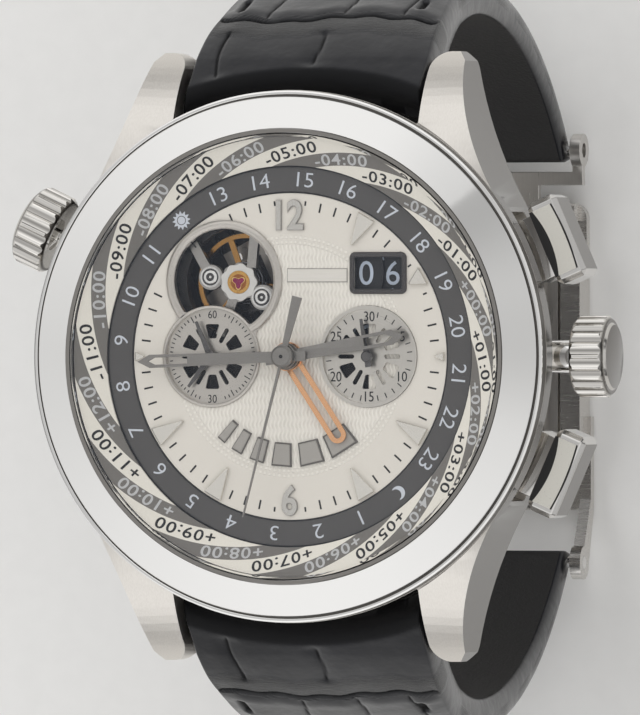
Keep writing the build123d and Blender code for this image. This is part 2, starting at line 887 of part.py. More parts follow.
def make_date_frame():
    with BuildPart() as date_frame:
        with BuildSketch(Plane(origin=(date_x, date_y, dial_top))):
            RectangleRounded(date_frame_width, date_frame_height, date_frame_corner)
            RectangleRounded(date_window_width, date_window_height, date_window_corner, mode=Mode.SUBTRACT)
        extrude(amount=date_frame_top - dial_top)
        chamfer(date_frame.edges().group_by(Axis.Z)[-1], marker_bevel)
    save(date_frame, "date_frame")


def make_reserve_blocks():
    # Clock angle of each block, and its width as a share of the radial length of a block
    block_width_shares = ((220.5, 0.39), (210.3, 0.5), (198.3, 0.64),
                          (184.4, 0.89), (167.3, 1.08), (148.2, 1.33))
    length = reserve_block_outer - reserve_block_inner
    taper_share = reserve_block_inner / reserve_block_outer
    with BuildPart() as reserve_blocks:
        for clock, width_share in block_width_shares:
            half_outer = length * width_share / 2
            half_inner = half_outer * taper_share
            with BuildSketch(hand_plane(0, 0, dial_top, clock)):
                Polygon((-half_inner, reserve_block_inner), (half_inner, reserve_block_inner),
                        (half_outer, reserve_block_outer), (-half_outer, reserve_block_outer), align=None)
            extrude(amount=reserve_block_height)
        chamfer(reserve_blocks.edges().group_by(Axis.Z)[-1], marker_bevel / 2)
    save(reserve_blocks, "reserve_blocks")


def make_hour_24_ring():
    with BuildPart() as hour_24_ring:
        with BuildSketch(Plane.XY.offset(hour_ring_top - hour_ring_thickness)):
            Circle(hour_ring_outer)
            Circle(hour_ring_inner, mode=Mode.SUBTRACT)
        extrude(amount=hour_ring_thickness)
        with BuildSketch(Plane.XY.offset(hour_ring_foot)):
            Circle(hour_ring_skirt_outer)
            Circle(hour_ring_skirt_inner, mode=Mode.SUBTRACT)
        extrude(amount=hour_ring_top - hour_ring_thickness - hour_ring_foot)
    save(hour_24_ring, "hour_24_ring")


def make_city_ring():
    with BuildPart() as city_ring:
        with BuildSketch(Plane.XZ):
            with BuildLine():
                Polyline((city_skirt_inner, city_skirt_foot), (city_ring_outer, city_skirt_foot),
                         (city_ring_outer, city_ring_high), (city_ring_inner, city_ring_low),
                         (city_ring_inner, city_ring_low - city_ring_edge),
                         (city_skirt_inner, city_ring_low - city_ring_edge),
                         (city_skirt_inner, city_skirt_foot))
            make_face()
        revolve(axis=Axis.Z)
        tooth_span = city_tooth_outer - city_skirt_inner + overrun
        with BuildSketch(Plane.XY.offset(city_skirt_foot)):
            with PolarLocations(city_tooth_outer - tooth_span / 2, city_tooth_count):
                Rectangle(tooth_span, city_tooth_gap)
        extrude(amount=city_tooth_depth, mode=Mode.SUBTRACT)
    save(city_ring, "city_ring")


def hand_outline(root_width, width, length, tail):
    """A baton that widens towards a short point, with a plain tail behind the boss."""
    with BuildLine() as outline:
        Polyline((-root_width / 2, -tail), (root_width / 2, -tail), (width / 2, length - hand_point_length),
                 (0, length), (-width / 2, length - hand_point_length), (-root_width / 2, -tail))
    return outline.edges()


def lume_outline(width, start, length):
    end = length - lume_tip_margin
    with BuildLine() as outline:
        Polyline((-width / 2, start), (width / 2, start), (width / 2, end - width), (0, end),
                 (-width / 2, end - width), (-width / 2, start))
    return outline.edges()


def make_minute_hand():
    with BuildPart() as minute_hand:
        with BuildSketch(hand_plane(0, 0, minute_hand_foot, 268)):
            make_face(hand_outline(minute_hand_root_width, minute_hand_width, minute_hand_length, hand_tail))
            Circle(minute_boss_radius)
        extrude(amount=hand_thickness)
        with BuildSketch(hand_plane(0, 0, minute_hand_foot, 268)):
            make_face(lume_outline(minute_hand_lume_width, minute_hand_lume_start, minute_hand_length))
        extrude(amount=hand_thickness, mode=Mode.SUBTRACT)
        with BuildSketch(Plane.XY.offset(minute_hand_foot)):
            Circle(minute_boss_radius)
        extrude(amount=hand_thickness + boss_extra)
        with BuildSketch(Plane.XY.offset(centre_wheel_foot + wheel_thickness)):
            Circle(minute_tube_outer)
        extrude(amount=minute_hand_foot - centre_wheel_foot - wheel_thickness)
        with BuildSketch(Plane.XY.offset(centre_wheel_foot)):
            Circle(minute_tube_inner)
        extrude(amount=minute_hand_foot, mode=Mode.SUBTRACT)
    save(minute_hand, "minute_hand")


def make_hour_hand():
    with BuildPart() as hour_hand:
        with BuildSketch(hand_plane(0, 0, hour_hand_foot, 80)):
            make_face(hand_outline(hour_hand_root_width, hour_hand_width, hour_hand_length, hand_tail))
            Circle(hour_boss_radius)
        extrude(amount=hand_thickness)
        with BuildSketch(hand_plane(0, 0, hour_hand_foot, 80)):
            make_face(lume_outline(hour_hand_lume_width, hour_hand_lume_start, hour_hand_length))
        extrude(amount=hand_thickness, mode=Mode.SUBTRACT)
        with BuildSketch(Plane.XY.offset(hour_hand_foot)):
            Circle(hour_boss_radius)
        extrude(amount=hand_thickness + boss_extra)
        with BuildSketch(Plane.XY.offset(plate_top)):
            Circle(hour_tube_outer)
        extrude(amount=hour_hand_foot - plate_top)
        with BuildSketch(Plane.XY.offset(plate_top)):
            Circle(hour_tube_inner)
        extrude(amount=hour_hand_foot, mode=Mode.SUBTRACT)
    save(hour_hand, "hour_hand")


def make_chrono_hand():
    neck = seconds_hand_width / 2
    tail = seconds_tail_width / 2
    tail_root = seconds_tail_root_width / 2
    with BuildPart() as chrono_seconds_hand:
        with BuildSketch(Plane.XY.offset(seconds_hand_foot)):
            Circle(seconds_boss_radius)
        extrude(amount=seconds_cap_top - seconds_hand_foot)
        chamfer(chrono_seconds_hand.edges().group_by(Axis.Z)[-1], hand_thickness)
        with BuildSketch(hand_plane(0, 0, seconds_hand_foot, 194.5)):
            Polygon((-neck, 0), (neck, 0), (neck / 2, seconds_hand_length), (-neck / 2, seconds_hand_length),
                    align=None)
            Polygon((-tail_root, 0), (-tail, -seconds_tail_length), (tail, -seconds_tail_length),
                    (tail_root, 0), align=None)
        extrude(amount=hand_thickness)
        with BuildSketch(Plane.XY.offset(bridge_top)):
            Circle(seconds_tube_outer)
        extrude(amount=seconds_hand_foot - bridge_top)
    save(chrono_seconds_hand, "chrono_seconds_hand")


def make_reserve_hand():
    half = reserve_hand_width / 2
    slot = half - reserve_bar_width
    with BuildPart() as power_reserve_hand:
        with BuildSketch(hand_plane(0, 0, reserve_hand_foot, 146.5)):
            with Locations((0, (reserve_hand_length - half) / 2)):
                Rectangle(reserve_hand_width, reserve_hand_length - half)
            with Locations((0, reserve_hand_length - half)):
                Circle(half)
            with Locations((0, (reserve_hand_length - half) / 2)):
                Rectangle(2 * slot, reserve_hand_length - half, mode=Mode.SUBTRACT)
            with Locations((0, reserve_hand_length - half)):
                Circle(slot, mode=Mode.SUBTRACT)
            Circle(reserve_boss_radius)
        extrude(amount=hand_thickness)
        with BuildSketch(Plane.XY.offset(reserve_hand_foot)):
            Circle(reserve_boss_radius)
        extrude(amount=hand_thickness + boss_extra)
        with BuildSketch(Plane.XY.offset(plate_top)):
            Circle(reserve_tube_outer)
        extrude(amount=reserve_hand_foot - plate_top)
        with BuildSketch(Plane.XY.offset(plate_top)):
            Circle(reserve_tube_inner)
        extrude(amount=reserve_hand_foot, mode=Mode.SUBTRACT)
    save(power_reserve_hand, "power_reserve_hand")


def make_small_seconds():
    root = counter_hand_root_width / 2
    tip = counter_hand_tip_width / 2
    with BuildPart() as small_seconds_hand:
        for clock in (-23, 97, 217):
            with BuildSketch(hand_plane(-counter_distance, 0, counter_hand_foot, clock)):
                Polygon((-root, 0), (root, 0), (tip, counter_hand_length),
                        (-tip, counter_hand_length), align=None)
            extrude(amount=counter_hand_thickness)
        with BuildSketch(Plane(origin=(-counter_distance, 0, counter_hand_foot))):
            Circle(counter_boss_radius)
        extrude(amount=counter_boss_top - counter_hand_foot)
        chamfer(small_seconds_hand.edges().group_by(Axis.Z)[-1], marker_bevel)
        with BuildSketch(Plane(origin=(-counter_distance, 0, fourth_pinion_foot + pinion_length))):
            Circle(post_radius)
        extrude(amount=counter_hand_foot - fourth_pinion_foot - pinion_length)
    save(small_seconds_hand, "small_seconds_hand")


def make_counter_hand():
    root = counter_hand_root_width / 2
    tip = counter_hand_tip_width / 2
    with BuildPart() as minute_counter_hand:
        with BuildSketch(hand_plane(counter_distance, 0, counter_hand_foot, -9.6)):
            Polygon((-root, -counter_hand_tail), (root, -counter_hand_tail), (tip, counter_hand_length),
                    (-tip, counter_hand_length), align=None)
        extrude(amount=counter_hand_thickness)
        with BuildSketch(Plane(origin=(counter_distance, 0, counter_hand_foot))):
            Circle(counter_boss_radius)
        extrude(amount=counter_boss_top - counter_hand_foot)
        chamfer(minute_counter_hand.edges().group_by(Axis.Z)[-1], marker_bevel)
        with BuildSketch(Plane(origin=(counter_distance, 0, plate_foot))):
            Circle(post_radius)
        extrude(amount=counter_hand_foot - plate_foot)
    save(minute_counter_hand, "minute_counter_hand")


def wheel_sketch(radius, teeth, spokes):
    """A crossed out gear: toothed rim, boss and spokes."""
    root = radius - tooth_depth
    inner = root - wheel_rim_width
    Circle(root)
    Circle(inner, mode=Mode.SUBTRACT)
    with PolarLocations(root, teeth):
        Rectangle(2 * tooth_depth, tooth_width)
    Circle(wheel_boss_radius)
    with PolarLocations(inner / 2, spokes):
        Rectangle(inner + tooth_depth, wheel_spoke_width)


def make_centre_wheel():
    with BuildPart() as centre_wheel:
        with BuildSketch(Plane.XY.offset(centre_wheel_foot)):
            wheel_sketch(centre_wheel_radius, 40, 4)
            Circle(minute_tube_inner, mode=Mode.SUBTRACT)
        extrude(amount=wheel_thickness)
    save(centre_wheel, "centre_wheel")


def make_third_wheel():
    with BuildPart() as third_wheel:
        with BuildSketch(Plane(origin=(third_x, third_y, third_wheel_foot))):
            wheel_sketch(third_wheel_radius, 30, 4)
        extrude(amount=wheel_thickness)
        with BuildSketch(Plane(origin=(third_x, third_y, third_pinion_foot))):
            with PolarLocations(third_pinion_radius - tooth_width, 8):
                Rectangle(tooth_width * 2, tooth_width)
            Circle(third_pinion_radius - tooth_width)
        extrude(amount=plate_foot - third_pinion_foot - seat_fit)
        with BuildSketch(Plane(origin=(third_x, third_y, bridge_top + seat_fit))):
            Circle(arbor_radius)
        extrude(amount=plate_foot - bridge_top - 2 * seat_fit)
    save(third_wheel, "third_wheel")


def make_fourth_wheel():
    with BuildPart() as fourth_wheel:
        with BuildSketch(Plane(origin=(-counter_distance, 0, fourth_wheel_foot))):
            wheel_sketch(fourth_wheel_radius, 32, 4)
        extrude(amount=wheel_thickness)
        with BuildSketch(Plane(origin=(-counter_distance, 0, fourth_pinion_foot))):
            with PolarLocations(pinion_radius - tooth_width, 8):
                Rectangle(tooth_width * 2, tooth_width)
            Circle(pinion_radius - tooth_width)
        extrude(amount=pinion_length)
        with BuildSketch(Plane(origin=(-counter_distance, 0, bridge_top + seat_fit))):
            Circle(arbor_radius)
        extrude(amount=fourth_pinion_foot - bridge_top)
    save(fourth_wheel, "fourth_wheel")


def make_escape_wheel():
    root = escape_radius - escape_tooth_length
    with BuildPart() as escape_wheel:
        with BuildSketch(Plane(origin=(escape_x, escape_y, escape_foot))):
            Circle(root)
            Circle(root - wheel_rim_width / 2, mode=Mode.SUBTRACT)
            with PolarLocations(root, 15):
                Polygon((-escape_tooth_width, -escape_tooth_width),
                        (-escape_tooth_width, escape_tooth_width),
                        (escape_tooth_length, escape_tooth_width), (escape_tooth_length, 0), align=None)
            Circle(wheel_boss_radius / 2)
            with PolarLocations(root / 2, 4):
                Rectangle(root, wheel_spoke_width / 2)
        extrude(amount=wheel_thickness)
        with BuildSketch(Plane(origin=(escape_x, escape_y, escape_pinion_foot))):
            with PolarLocations(pinion_radius - tooth_width, 7):
                Rectangle(tooth_width * 2, tooth_width)
            Circle(pinion_radius - tooth_width)
        extrude(amount=escape_foot - escape_pinion_foot - hinge_gap)
        with BuildSketch(Plane(origin=(escape_x, escape_y, bridge_top + seat_fit))):
            Circle(arbor_radius)
        extrude(amount=plate_foot - bridge_top - centre_arbor_gap)
    save(escape_wheel, "escape_wheel")


def make_barrel():
    with BuildPart() as barrel:
        with BuildSketch(Plane(origin=(barrel_x, barrel_y, barrel_foot))):
            Circle(barrel_radius)
        extrude(amount=barrel_height)
        with BuildSketch(Plane(origin=(barrel_x, barrel_y, barrel_foot + barrel_height))):
            Circle(barrel_radius - bore_inset)
            Circle(barrel_arbor_radius + hinge_gap, mode=Mode.SUBTRACT)
        extrude(amount=-bore_inset, mode=Mode.SUBTRACT)
        with BuildSketch(Plane(origin=(barrel_x, barrel_y, barrel_foot))):
            with PolarLocations(barrel_radius, 40):
                Rectangle(2 * tooth_depth, 2 * tooth_width)
        extrude(amount=barrel_tooth_ring_height)
        with BuildSketch(Plane(origin=(barrel_x, barrel_y, barrel_foot + barrel_height))):
            Circle(barrel_arbor_radius)
        extrude(amount=plate_foot - barrel_foot - barrel_height - seat_fit)
    save(barrel, "barrel")


def make_balance_wheel():
    height = balance_foot + (balance_rim_height - balance_arm_height) / 2
    with BuildPart() as balance_wheel:
        with BuildSketch(Plane(origin=(balance_x, balance_y, balance_foot))):
            Circle(balance_radius)
            Circle(balance_radius - balance_rim_width, mode=Mode.SUBTRACT)
        extrude(amount=balance_rim_height)
        with BuildSketch(Plane(origin=(balance_x, balance_y, height))):
            for turn in (20, 140, 260):
                with Locations(Rotation(0, 0, turn)):
                    with Locations((0, (balance_radius - balance_rim_width) / 2)):
                        Rectangle(balance_arm_width, balance_radius - balance_rim_width + tooth_width)
            Circle(wheel_boss_radius)
        extrude(amount=balance_arm_height)
        with BuildSketch(Plane(origin=(balance_x, balance_y, roller_foot))):
            Circle(arbor_radius)
        extrude(amount=cock_foot - roller_foot - seat_fit)
        with BuildSketch(Plane(origin=(balance_x, balance_y, height))):
            Circle(collet_radius)
        extrude(amount=collet_top - height)
        with BuildSketch(Plane(origin=(balance_x, balance_y, roller_foot))):
            Circle(roller_radius)
        extrude(amount=roller_thickness)
        with BuildSketch(Plane(origin=(balance_x, balance_y, roller_foot))):
            Circle(arbor_radius)
        extrude(amount=height - roller_foot)
        with BuildSketch(Plane(origin=(balance_x, balance_y, staff_foot))):
            Circle(arbor_radius)
        extrude(amount=roller_foot - staff_foot)
    save(balance_wheel, "balance_wheel")


def spiral_points():
    """Ends of the half turns, each half a pitch wider than the one before."""
    points = [(hairspring_start_radius, 0)]
    centre = 0
    radius = hairspring_start_radius
    direction = 1
    for _ in range(hairspring_half_turns):
        points.append((centre - direction * radius, 0))
        centre += direction * hairspring_pitch / 4
        radius += hairspring_pitch / 4
        direction = -direction
    return points


def make_hairspring():
    points = spiral_points()
    plane = Plane(origin=(balance_x, balance_y, hairspring_height))
    with BuildPart() as hairspring:
        with BuildLine(plane) as path:
            for index in range(hairspring_half_turns):
                start = points[index]
                end = points[index + 1]
                side = 1 if index % 2 == 0 else -1
                middle = ((start[0] + end[0]) / 2, side * abs(start[0] - end[0]) / 2)
                ThreePointArc(start, middle, end)
        first = path.wires()[0] @ 0
        with BuildSketch(Plane(origin=first, x_dir=(1, 0, 0), z_dir=(0, 1, 0))):
            Circle(hairspring_wire_radius)
        sweep(path=path.wires()[0])
    save(hairspring, "hairspring")
    print("hairspring least gap to itself", round(hairspring_pitch - 2 * hairspring_wire_radius, 3))


def bar_between(x1, y1, x2, y2, width):
    """A flat bar between two places, in the sketch that calls it."""
    length = math.hypot(x2 - x1, y2 - y1)
    turn = math.degrees(math.atan2(y2 - y1, x2 - x1))
    with Locations(Location(((x1 + x2) / 2, (y1 + y2) / 2, 0), (0, 0, turn))):
        Rectangle(length, width)


def make_balance_bridge():
    with BuildPart() as balance_bridge:
        with BuildSketch(Plane.XY.offset(cock_foot)):
            with Locations((balance_x, balance_y)):
                Circle(cock_hub_radius)
                with PolarLocations(cock_hub_radius - cock_lobe_inset, 8):
                    Circle(cock_lobe_radius)
            with Locations((cock_left_x, cock_left_y), (cock_right_x, cock_right_y)):
                Circle(cock_boss_radius)
            bar_between(cock_left_x, cock_left_y, balance_x, balance_y, cock_arm_width)
            bar_between(cock_right_x, cock_right_y, balance_x, balance_y, cock_arm_width)
            bar_between(cock_left_x, cock_left_y, cock_arm_end_x, cock_arm_end_y, cock_arm_width)
            bar_between(cock_bar_start_x, cock_bar_start_y, cock_bar_end_x, cock_bar_end_y, cock_bar_width)
            bar_between(balance_x, balance_y, cock_link_end_x, cock_link_end_y, cock_arm_width)
            bar_between(cock_right_x, cock_right_y, cock_foot_end_x, cock_foot_end_y, cock_arm_width)
        extrude(amount=cock_top - cock_foot)
        with BuildSketch(Plane(origin=(balance_x, balance_y, cock_top))):
            Circle(shock_outer_radius + seat_fit)
        extrude(amount=shock_foot - cock_top, mode=Mode.SUBTRACT)
        with BuildSketch(Plane.XY.offset(cock_top)):
            with Locations((cock_left_x, cock_left_y), (cock_right_x, cock_right_y)):
                Circle(screw_head_radius + running_fit)
        extrude(amount=-screw_head_height / 2, mode=Mode.SUBTRACT)
    save(balance_bridge, "balance_bridge")


def make_bridge_screws():
    with BuildPart() as bridge_screws:
        with BuildSketch(Plane.XY.offset(cock_top - screw_head_height / 2)):
            with Locations((cock_left_x, cock_left_y), (cock_right_x, cock_right_y)):
                Circle(screw_head_radius)
        extrude(amount=screw_head_height)
        with BuildSketch(Plane.XY.offset(cock_top + screw_head_height / 2)):
            with Locations((cock_left_x, cock_left_y), (cock_right_x, cock_right_y)):
                Rectangle(2 * screw_head_radius, screw_slot_width)
        extrude(amount=-screw_slot_depth, mode=Mode.SUBTRACT)
    save(bridge_screws, "bridge_screws")


def make_shock_setting():
    with BuildPart() as shock_setting:
        with BuildSketch(Plane(origin=(balance_x, balance_y, shock_foot))):
            Circle(shock_outer_radius)
        extrude(amount=shock_top - shock_foot)
        with BuildSketch(Plane(origin=(balance_x, balance_y, shock_top))):
            Circle(shock_inner_radius)
        extrude(amount=-jewel_thickness, mode=Mode.SUBTRACT)
        with BuildSketch(Plane(origin=(balance_x, balance_y, shock_top))):
            with PolarLocations(shock_outer_radius, 3, start_angle=30):
                Circle(lyre_wire_width)
        extrude(amount=-screw_slot_depth, mode=Mode.SUBTRACT)
    save(shock_setting, "shock_setting")


def make_cap_jewel():
    with BuildPart() as cap_jewel:
        with BuildSketch(Plane(origin=(balance_x, balance_y, shock_top - jewel_thickness))):
            Circle(jewel_radius)
        extrude(amount=jewel_thickness - lyre_thickness - seat_fit)
    save(cap_jewel, "cap_jewel")


def make_shock_spring():
    reach = shock_inner_radius - seat_fit
    with BuildPart() as shock_spring:
        with BuildSketch(Plane(origin=(balance_x, balance_y, shock_top - lyre_thickness))):
            for turn in (30, 150, 270):
                with Locations(Rotation(0, 0, turn)):
                    with Locations((reach / 2, 0)):
                        Circle(reach / 2)
            for turn in (30, 150, 270):
                with Locations(Rotation(0, 0, turn)):
                    with Locations((reach / 2, 0)):
                        Circle(reach / 2 - lyre_wire_width, mode=Mode.SUBTRACT)
            Circle(lyre_wire_width)
        extrude(amount=lyre_thickness)
    save(shock_spring, "shock_spring")


def make_pallet_fork():
    span_x = balance_x - escape_x
    span_y = balance_y - escape_y
    fork_x = escape_x + span_x * fork_share
    fork_y = escape_y + span_y * fork_share
    towards = math.degrees(math.atan2(span_x, span_y))
    with BuildPart() as pallet_fork:
        with BuildSketch(hand_plane(fork_x, fork_y, fork_foot, towards)):
            Circle(fork_boss_radius)
            with Locations((0, fork_reach / 2)):
                Rectangle(fork_bar_width, fork_reach)
            with Locations((-fork_bar_width / 2, fork_reach), (fork_bar_width / 2, fork_reach)):
                Rectangle(fork_bar_width / 2, fork_bar_width)
            Rectangle(2 * fork_stone_spread, fork_bar_width)
            with Locations((-fork_stone_spread, -fork_stone_reach / 2),
                           (fork_stone_spread, -fork_stone_reach / 2)):
                Rectangle(fork_bar_width / 2, fork_stone_reach)
        extrude(amount=fork_thickness)
        with BuildSketch(Plane(origin=(fork_x, fork_y, bridge_top + seat_fit))):
            Circle(arbor_radius)
        extrude(amount=fork_foot - bridge_top)
    save(pallet_fork, "pallet_fork")


def make_main_plate():
    with BuildPart() as main_plate:
        with BuildSketch(Plane.XY.offset(plate_foot)):
            Circle(movement_radius)
        extrude(amount=plate_top - plate_foot)
        with BuildSketch(Plane.XY.offset(movement_ring_top)):
            Circle(plate_flange_radius)
        extrude(amount=plate_flange_top - movement_ring_top)
        with BuildSketch(Plane.XY.offset(movement_ring_top)):
            Circle(movement_radius - overrun)
        extrude(amount=plate_foot - movement_ring_top, mode=Mode.SUBTRACT)
        with BuildSketch(Plane.XY.offset(plate_foot)):
            Circle(dial_hole_radius)
            with Locations((-counter_distance, 0), (counter_distance, 0)):
                Circle(post_radius + running_fit)
            with Locations((balance_x, balance_y)):
                Circle(plate_heart_radius)
        extrude(amount=plate_top, mode=Mode.SUBTRACT)
        with BuildSketch(Plane.XY.offset(cock_foot)):
            bar_between(cock_left_x, cock_left_y, cock_arm_end_x, cock_arm_end_y,
                        cock_arm_width + 2 * seat_fit)
            bar_between(cock_bar_start_x, cock_bar_start_y, cock_bar_end_x, cock_bar_end_y,
                        cock_bar_width + 2 * seat_fit)
            bar_between(balance_x, balance_y, cock_link_end_x, cock_link_end_y,
                        cock_arm_width + 2 * seat_fit)
            bar_between(cock_right_x, cock_right_y, cock_foot_end_x, cock_foot_end_y,
                        cock_arm_width + 2 * seat_fit)
            with Locations((cock_arm_end_x, cock_arm_end_y), (cock_bar_end_x, cock_bar_end_y),
                           (cock_link_end_x, cock_link_end_y), (cock_foot_end_x, cock_foot_end_y)):
                Circle(cock_arm_width)
        extrude(amount=plate_top - cock_foot, mode=Mode.SUBTRACT)
        with BuildSketch(Plane.XY.offset(plate_top)):
            with Locations((units_x, units_y)):
                Circle(post_radius)
        extrude(amount=units_foot + disc_thickness - plate_top)
    save(main_plate, "main_plate")


def make_train_bridge():
    window_x = balance_x * bridge_window_share
    window_y = balance_y * bridge_window_share
    arm_x = balance_x * bridge_arm_share
    arm_y = balance_y * bridge_arm_share
    with BuildPart() as train_bridge:
        with BuildSketch(Plane.XY.offset(bridge_foot)):
            Circle(bridge_radius)
            with Locations((balance_x, balance_y)):
                Circle(balance_radius, mode=Mode.SUBTRACT)
            bar_between(balance_x, balance_y, window_x, window_y, cock_hub_radius)
            with Locations((balance_x, balance_y)):
                Circle(cock_hub_radius)
            with Locations((window_x, window_y)):
                Circle(bridge_window_radius, mode=Mode.SUBTRACT)
            bar_between(balance_x, balance_y, arm_x, arm_y, cock_hub_radius)
        extrude(amount=bridge_top - bridge_foot)
        with BuildSketch(Plane.XY.offset(bridge_top)):
            for clock in (15, 108, 175, 250):
                with Locations((clock_x(pillar_circle, clock), clock_y(pillar_circle, clock))):
                    Circle(pillar_radius)
        extrude(amount=plate_foot - bridge_top)
    save(train_bridge, "train_bridge")


def make_rotor():
    with BuildPart() as rotor:
        with BuildSketch(Plane.XY.offset(rotor_web_foot)):
            with BuildLine():
                Line((-rotor_radius, 0), (rotor_radius, 0))
                ThreePointArc((rotor_radius, 0), (0, -rotor_radius), (-rotor_radius, 0))
            make_face()
            Circle(rotor_boss_radius)
            Circle(bearing_radius + running_fit, mode=Mode.SUBTRACT)
        extrude(amount=rotor_top - rotor_web_foot)
        with BuildSketch(Plane.XY.offset(rotor_foot)):
            with BuildLine():
                Line((-rotor_radius, 0), (-rotor_rim_inner, 0))
                ThreePointArc((-rotor_rim_inner, 0), (0, -rotor_rim_inner), (rotor_rim_inner, 0))
                Line((rotor_rim_inner, 0), (rotor_radius, 0))
                ThreePointArc((rotor_radius, 0), (0, -rotor_radius), (-rotor_radius, 0))
            make_face()
        extrude(amount=rotor_web_foot - rotor_foot)
    save(rotor, "rotor")


def make_rotor_bearing():
    flange_top = rotor_web_foot - running_fit
    with BuildPart() as rotor_bearing:
        with BuildSketch(Plane.XY.offset(flange_top - bearing_flange_height)):
            Circle(bearing_flange_radius)
        extrude(amount=bearing_flange_height)
        with BuildSketch(Plane.XY.offset(flange_top)):
            Circle(bearing_radius)
        extrude(amount=bridge_foot - flange_top)
        with BuildSketch(Plane.XY.offset(flange_top - bearing_flange_height)):
            with PolarLocations(bearing_radius, 3):
                Circle(bearing_slot_width)
        extrude(amount=bearing_flange_height / 2, mode=Mode.SUBTRACT)
    save(rotor_bearing, "rotor_bearing")


def make_date_disc(x, y, radius, foot, name):
    with BuildPart() as date_disc:
        with BuildSketch(Plane(origin=(x, y, foot))):
            Circle(radius)
            Circle(post_radius + running_fit, mode=Mode.SUBTRACT)
        extrude(amount=disc_thickness)
    save(date_disc, name)


def make_crown(clock, name):
    with BuildPart() as crown:
        with BuildSketch(radial_plane(crown_foot, clock)):
            Circle(crown_radius)
        extrude(amount=crown_length)
        chamfer(crown.edges().filter_by(GeomType.CIRCLE), crown_edge)
        with BuildSketch(radial_plane(crown_foot, clock)):
            with PolarLocations(crown_radius + crown_flute_inset, crown_flute_count):
                Circle(crown_flute_radius)
        extrude(amount=crown_length, mode=Mode.SUBTRACT)
        with BuildSketch(radial_plane(crown_foot + crown_length, clock)):
            Circle(crown_radius - crown_edge - crown_flute_inset)
        with BuildSketch(radial_plane(crown_foot + crown_length + crown_dome_height, clock)):
            Circle(crown_face_radius)
        loft()
        with BuildSketch(radial_plane(crown_foot, clock)):
            Circle(stem_radius + seat_fit)
        extrude(amount=crown_socket_depth, mode=Mode.SUBTRACT)
    save(crown, name)


def make_winding_stem():
    with BuildPart() as winding_stem:
        with BuildSketch(radial_plane(stem_inner_end, crown_angle)):
            Circle(stem_radius)
        extrude(amount=crown_foot + crown_socket_depth - stem_inner_end)
        for place in (lever_inner - lever_thickness - running_fit,
                      lever_inner + lever_thickness + running_fit):
            with BuildSketch(radial_plane(place, crown_angle)):
                Circle(stem_collar_radius)
            extrude(amount=lever_thickness)
    save(winding_stem, "winding_stem")


def make_setting_lever():
    with BuildPart() as setting_lever:
        with BuildSketch(radial_plane(lever_inner, crown_angle)):
            with Locations((0, (lever_foot + lever_top) / 2 - stem_height)):
                Rectangle(lever_width, lever_top - lever_foot)
            Circle(stem_radius + running_fit, mode=Mode.SUBTRACT)
        extrude(amount=lever_thickness)
    save(setting_lever, "setting_lever")


def make_city_stem():
    with BuildPart() as city_stem:
        with BuildSketch(radial_plane(second_stem_inner_end, second_crown_angle)):
            Circle(stem_radius)
        extrude(amount=crown_foot + crown_socket_depth - second_stem_inner_end)
        root = city_pinion_radius - city_pinion_tooth_depth
        with BuildSketch(radial_plane(city_pinion_inner, second_crown_angle)):
            Circle(root)
            with PolarLocations(root, city_pinion_teeth):
                Rectangle(2 * city_pinion_tooth_depth, city_pinion_tooth_width)
        extrude(amount=city_pinion_length)
    save(city_stem, "city_stem")


def make_pusher(clock, name):
    with BuildPart() as pusher:
        with BuildSketch(radial_plane(pusher_neck_end, clock)):
            Rectangle(pusher_width, pusher_height)
        extrude(amount=pusher_outer - pusher_neck_end)
        chamfer(pusher.edges(), pusher_bevel)
        with BuildSketch(radial_plane(pusher_inner, clock)):
            Rectangle(pusher_neck_width, pusher_height - 2 * pusher_bevel)
        extrude(amount=pusher_neck_end - pusher_inner)
        with BuildSketch(radial_plane(pusher_stem_end, clock)):
            Circle(pusher_stem_radius)
        extrude(amount=pusher_inner - pusher_stem_end)
    save(pusher, name)


def strap_frame(turn_share):
    """Place and outward direction on the strap's middle line, from the lug bar to the clasp bar."""
    start = math.radians(strap_slope_angle)
    first = math.radians(90 + strap_slope_angle)
    second = math.radians(strap_lower_turn_angle)
    turn = (first + second) * turn_share
    upper = min(turn, first)
    y = bar_y + strap_upper_radius * (math.sin(-start + upper) - math.sin(-start))
    z = bar_z - strap_upper_radius * (math.cos(-start) - math.cos(-start + upper))
    if turn > first:
        lower = turn - first
        y -= strap_lower_radius * (1 - math.cos(lower))
        z -= strap_lower_radius * math.sin(lower)
    heading = start - turn
    return y, z, math.cos(heading), math.sin(heading)


def strap_side(turn_share, side, thickness, shift=0.0):
    """A point of one face of the strap, half a thickness from its middle line."""
    y, z, along_y, along_z = strap_frame(turn_share)
    return (y - side * along_z * thickness / 2 - along_y * shift,
            z + side * along_y * thickness / 2 - along_z * shift)


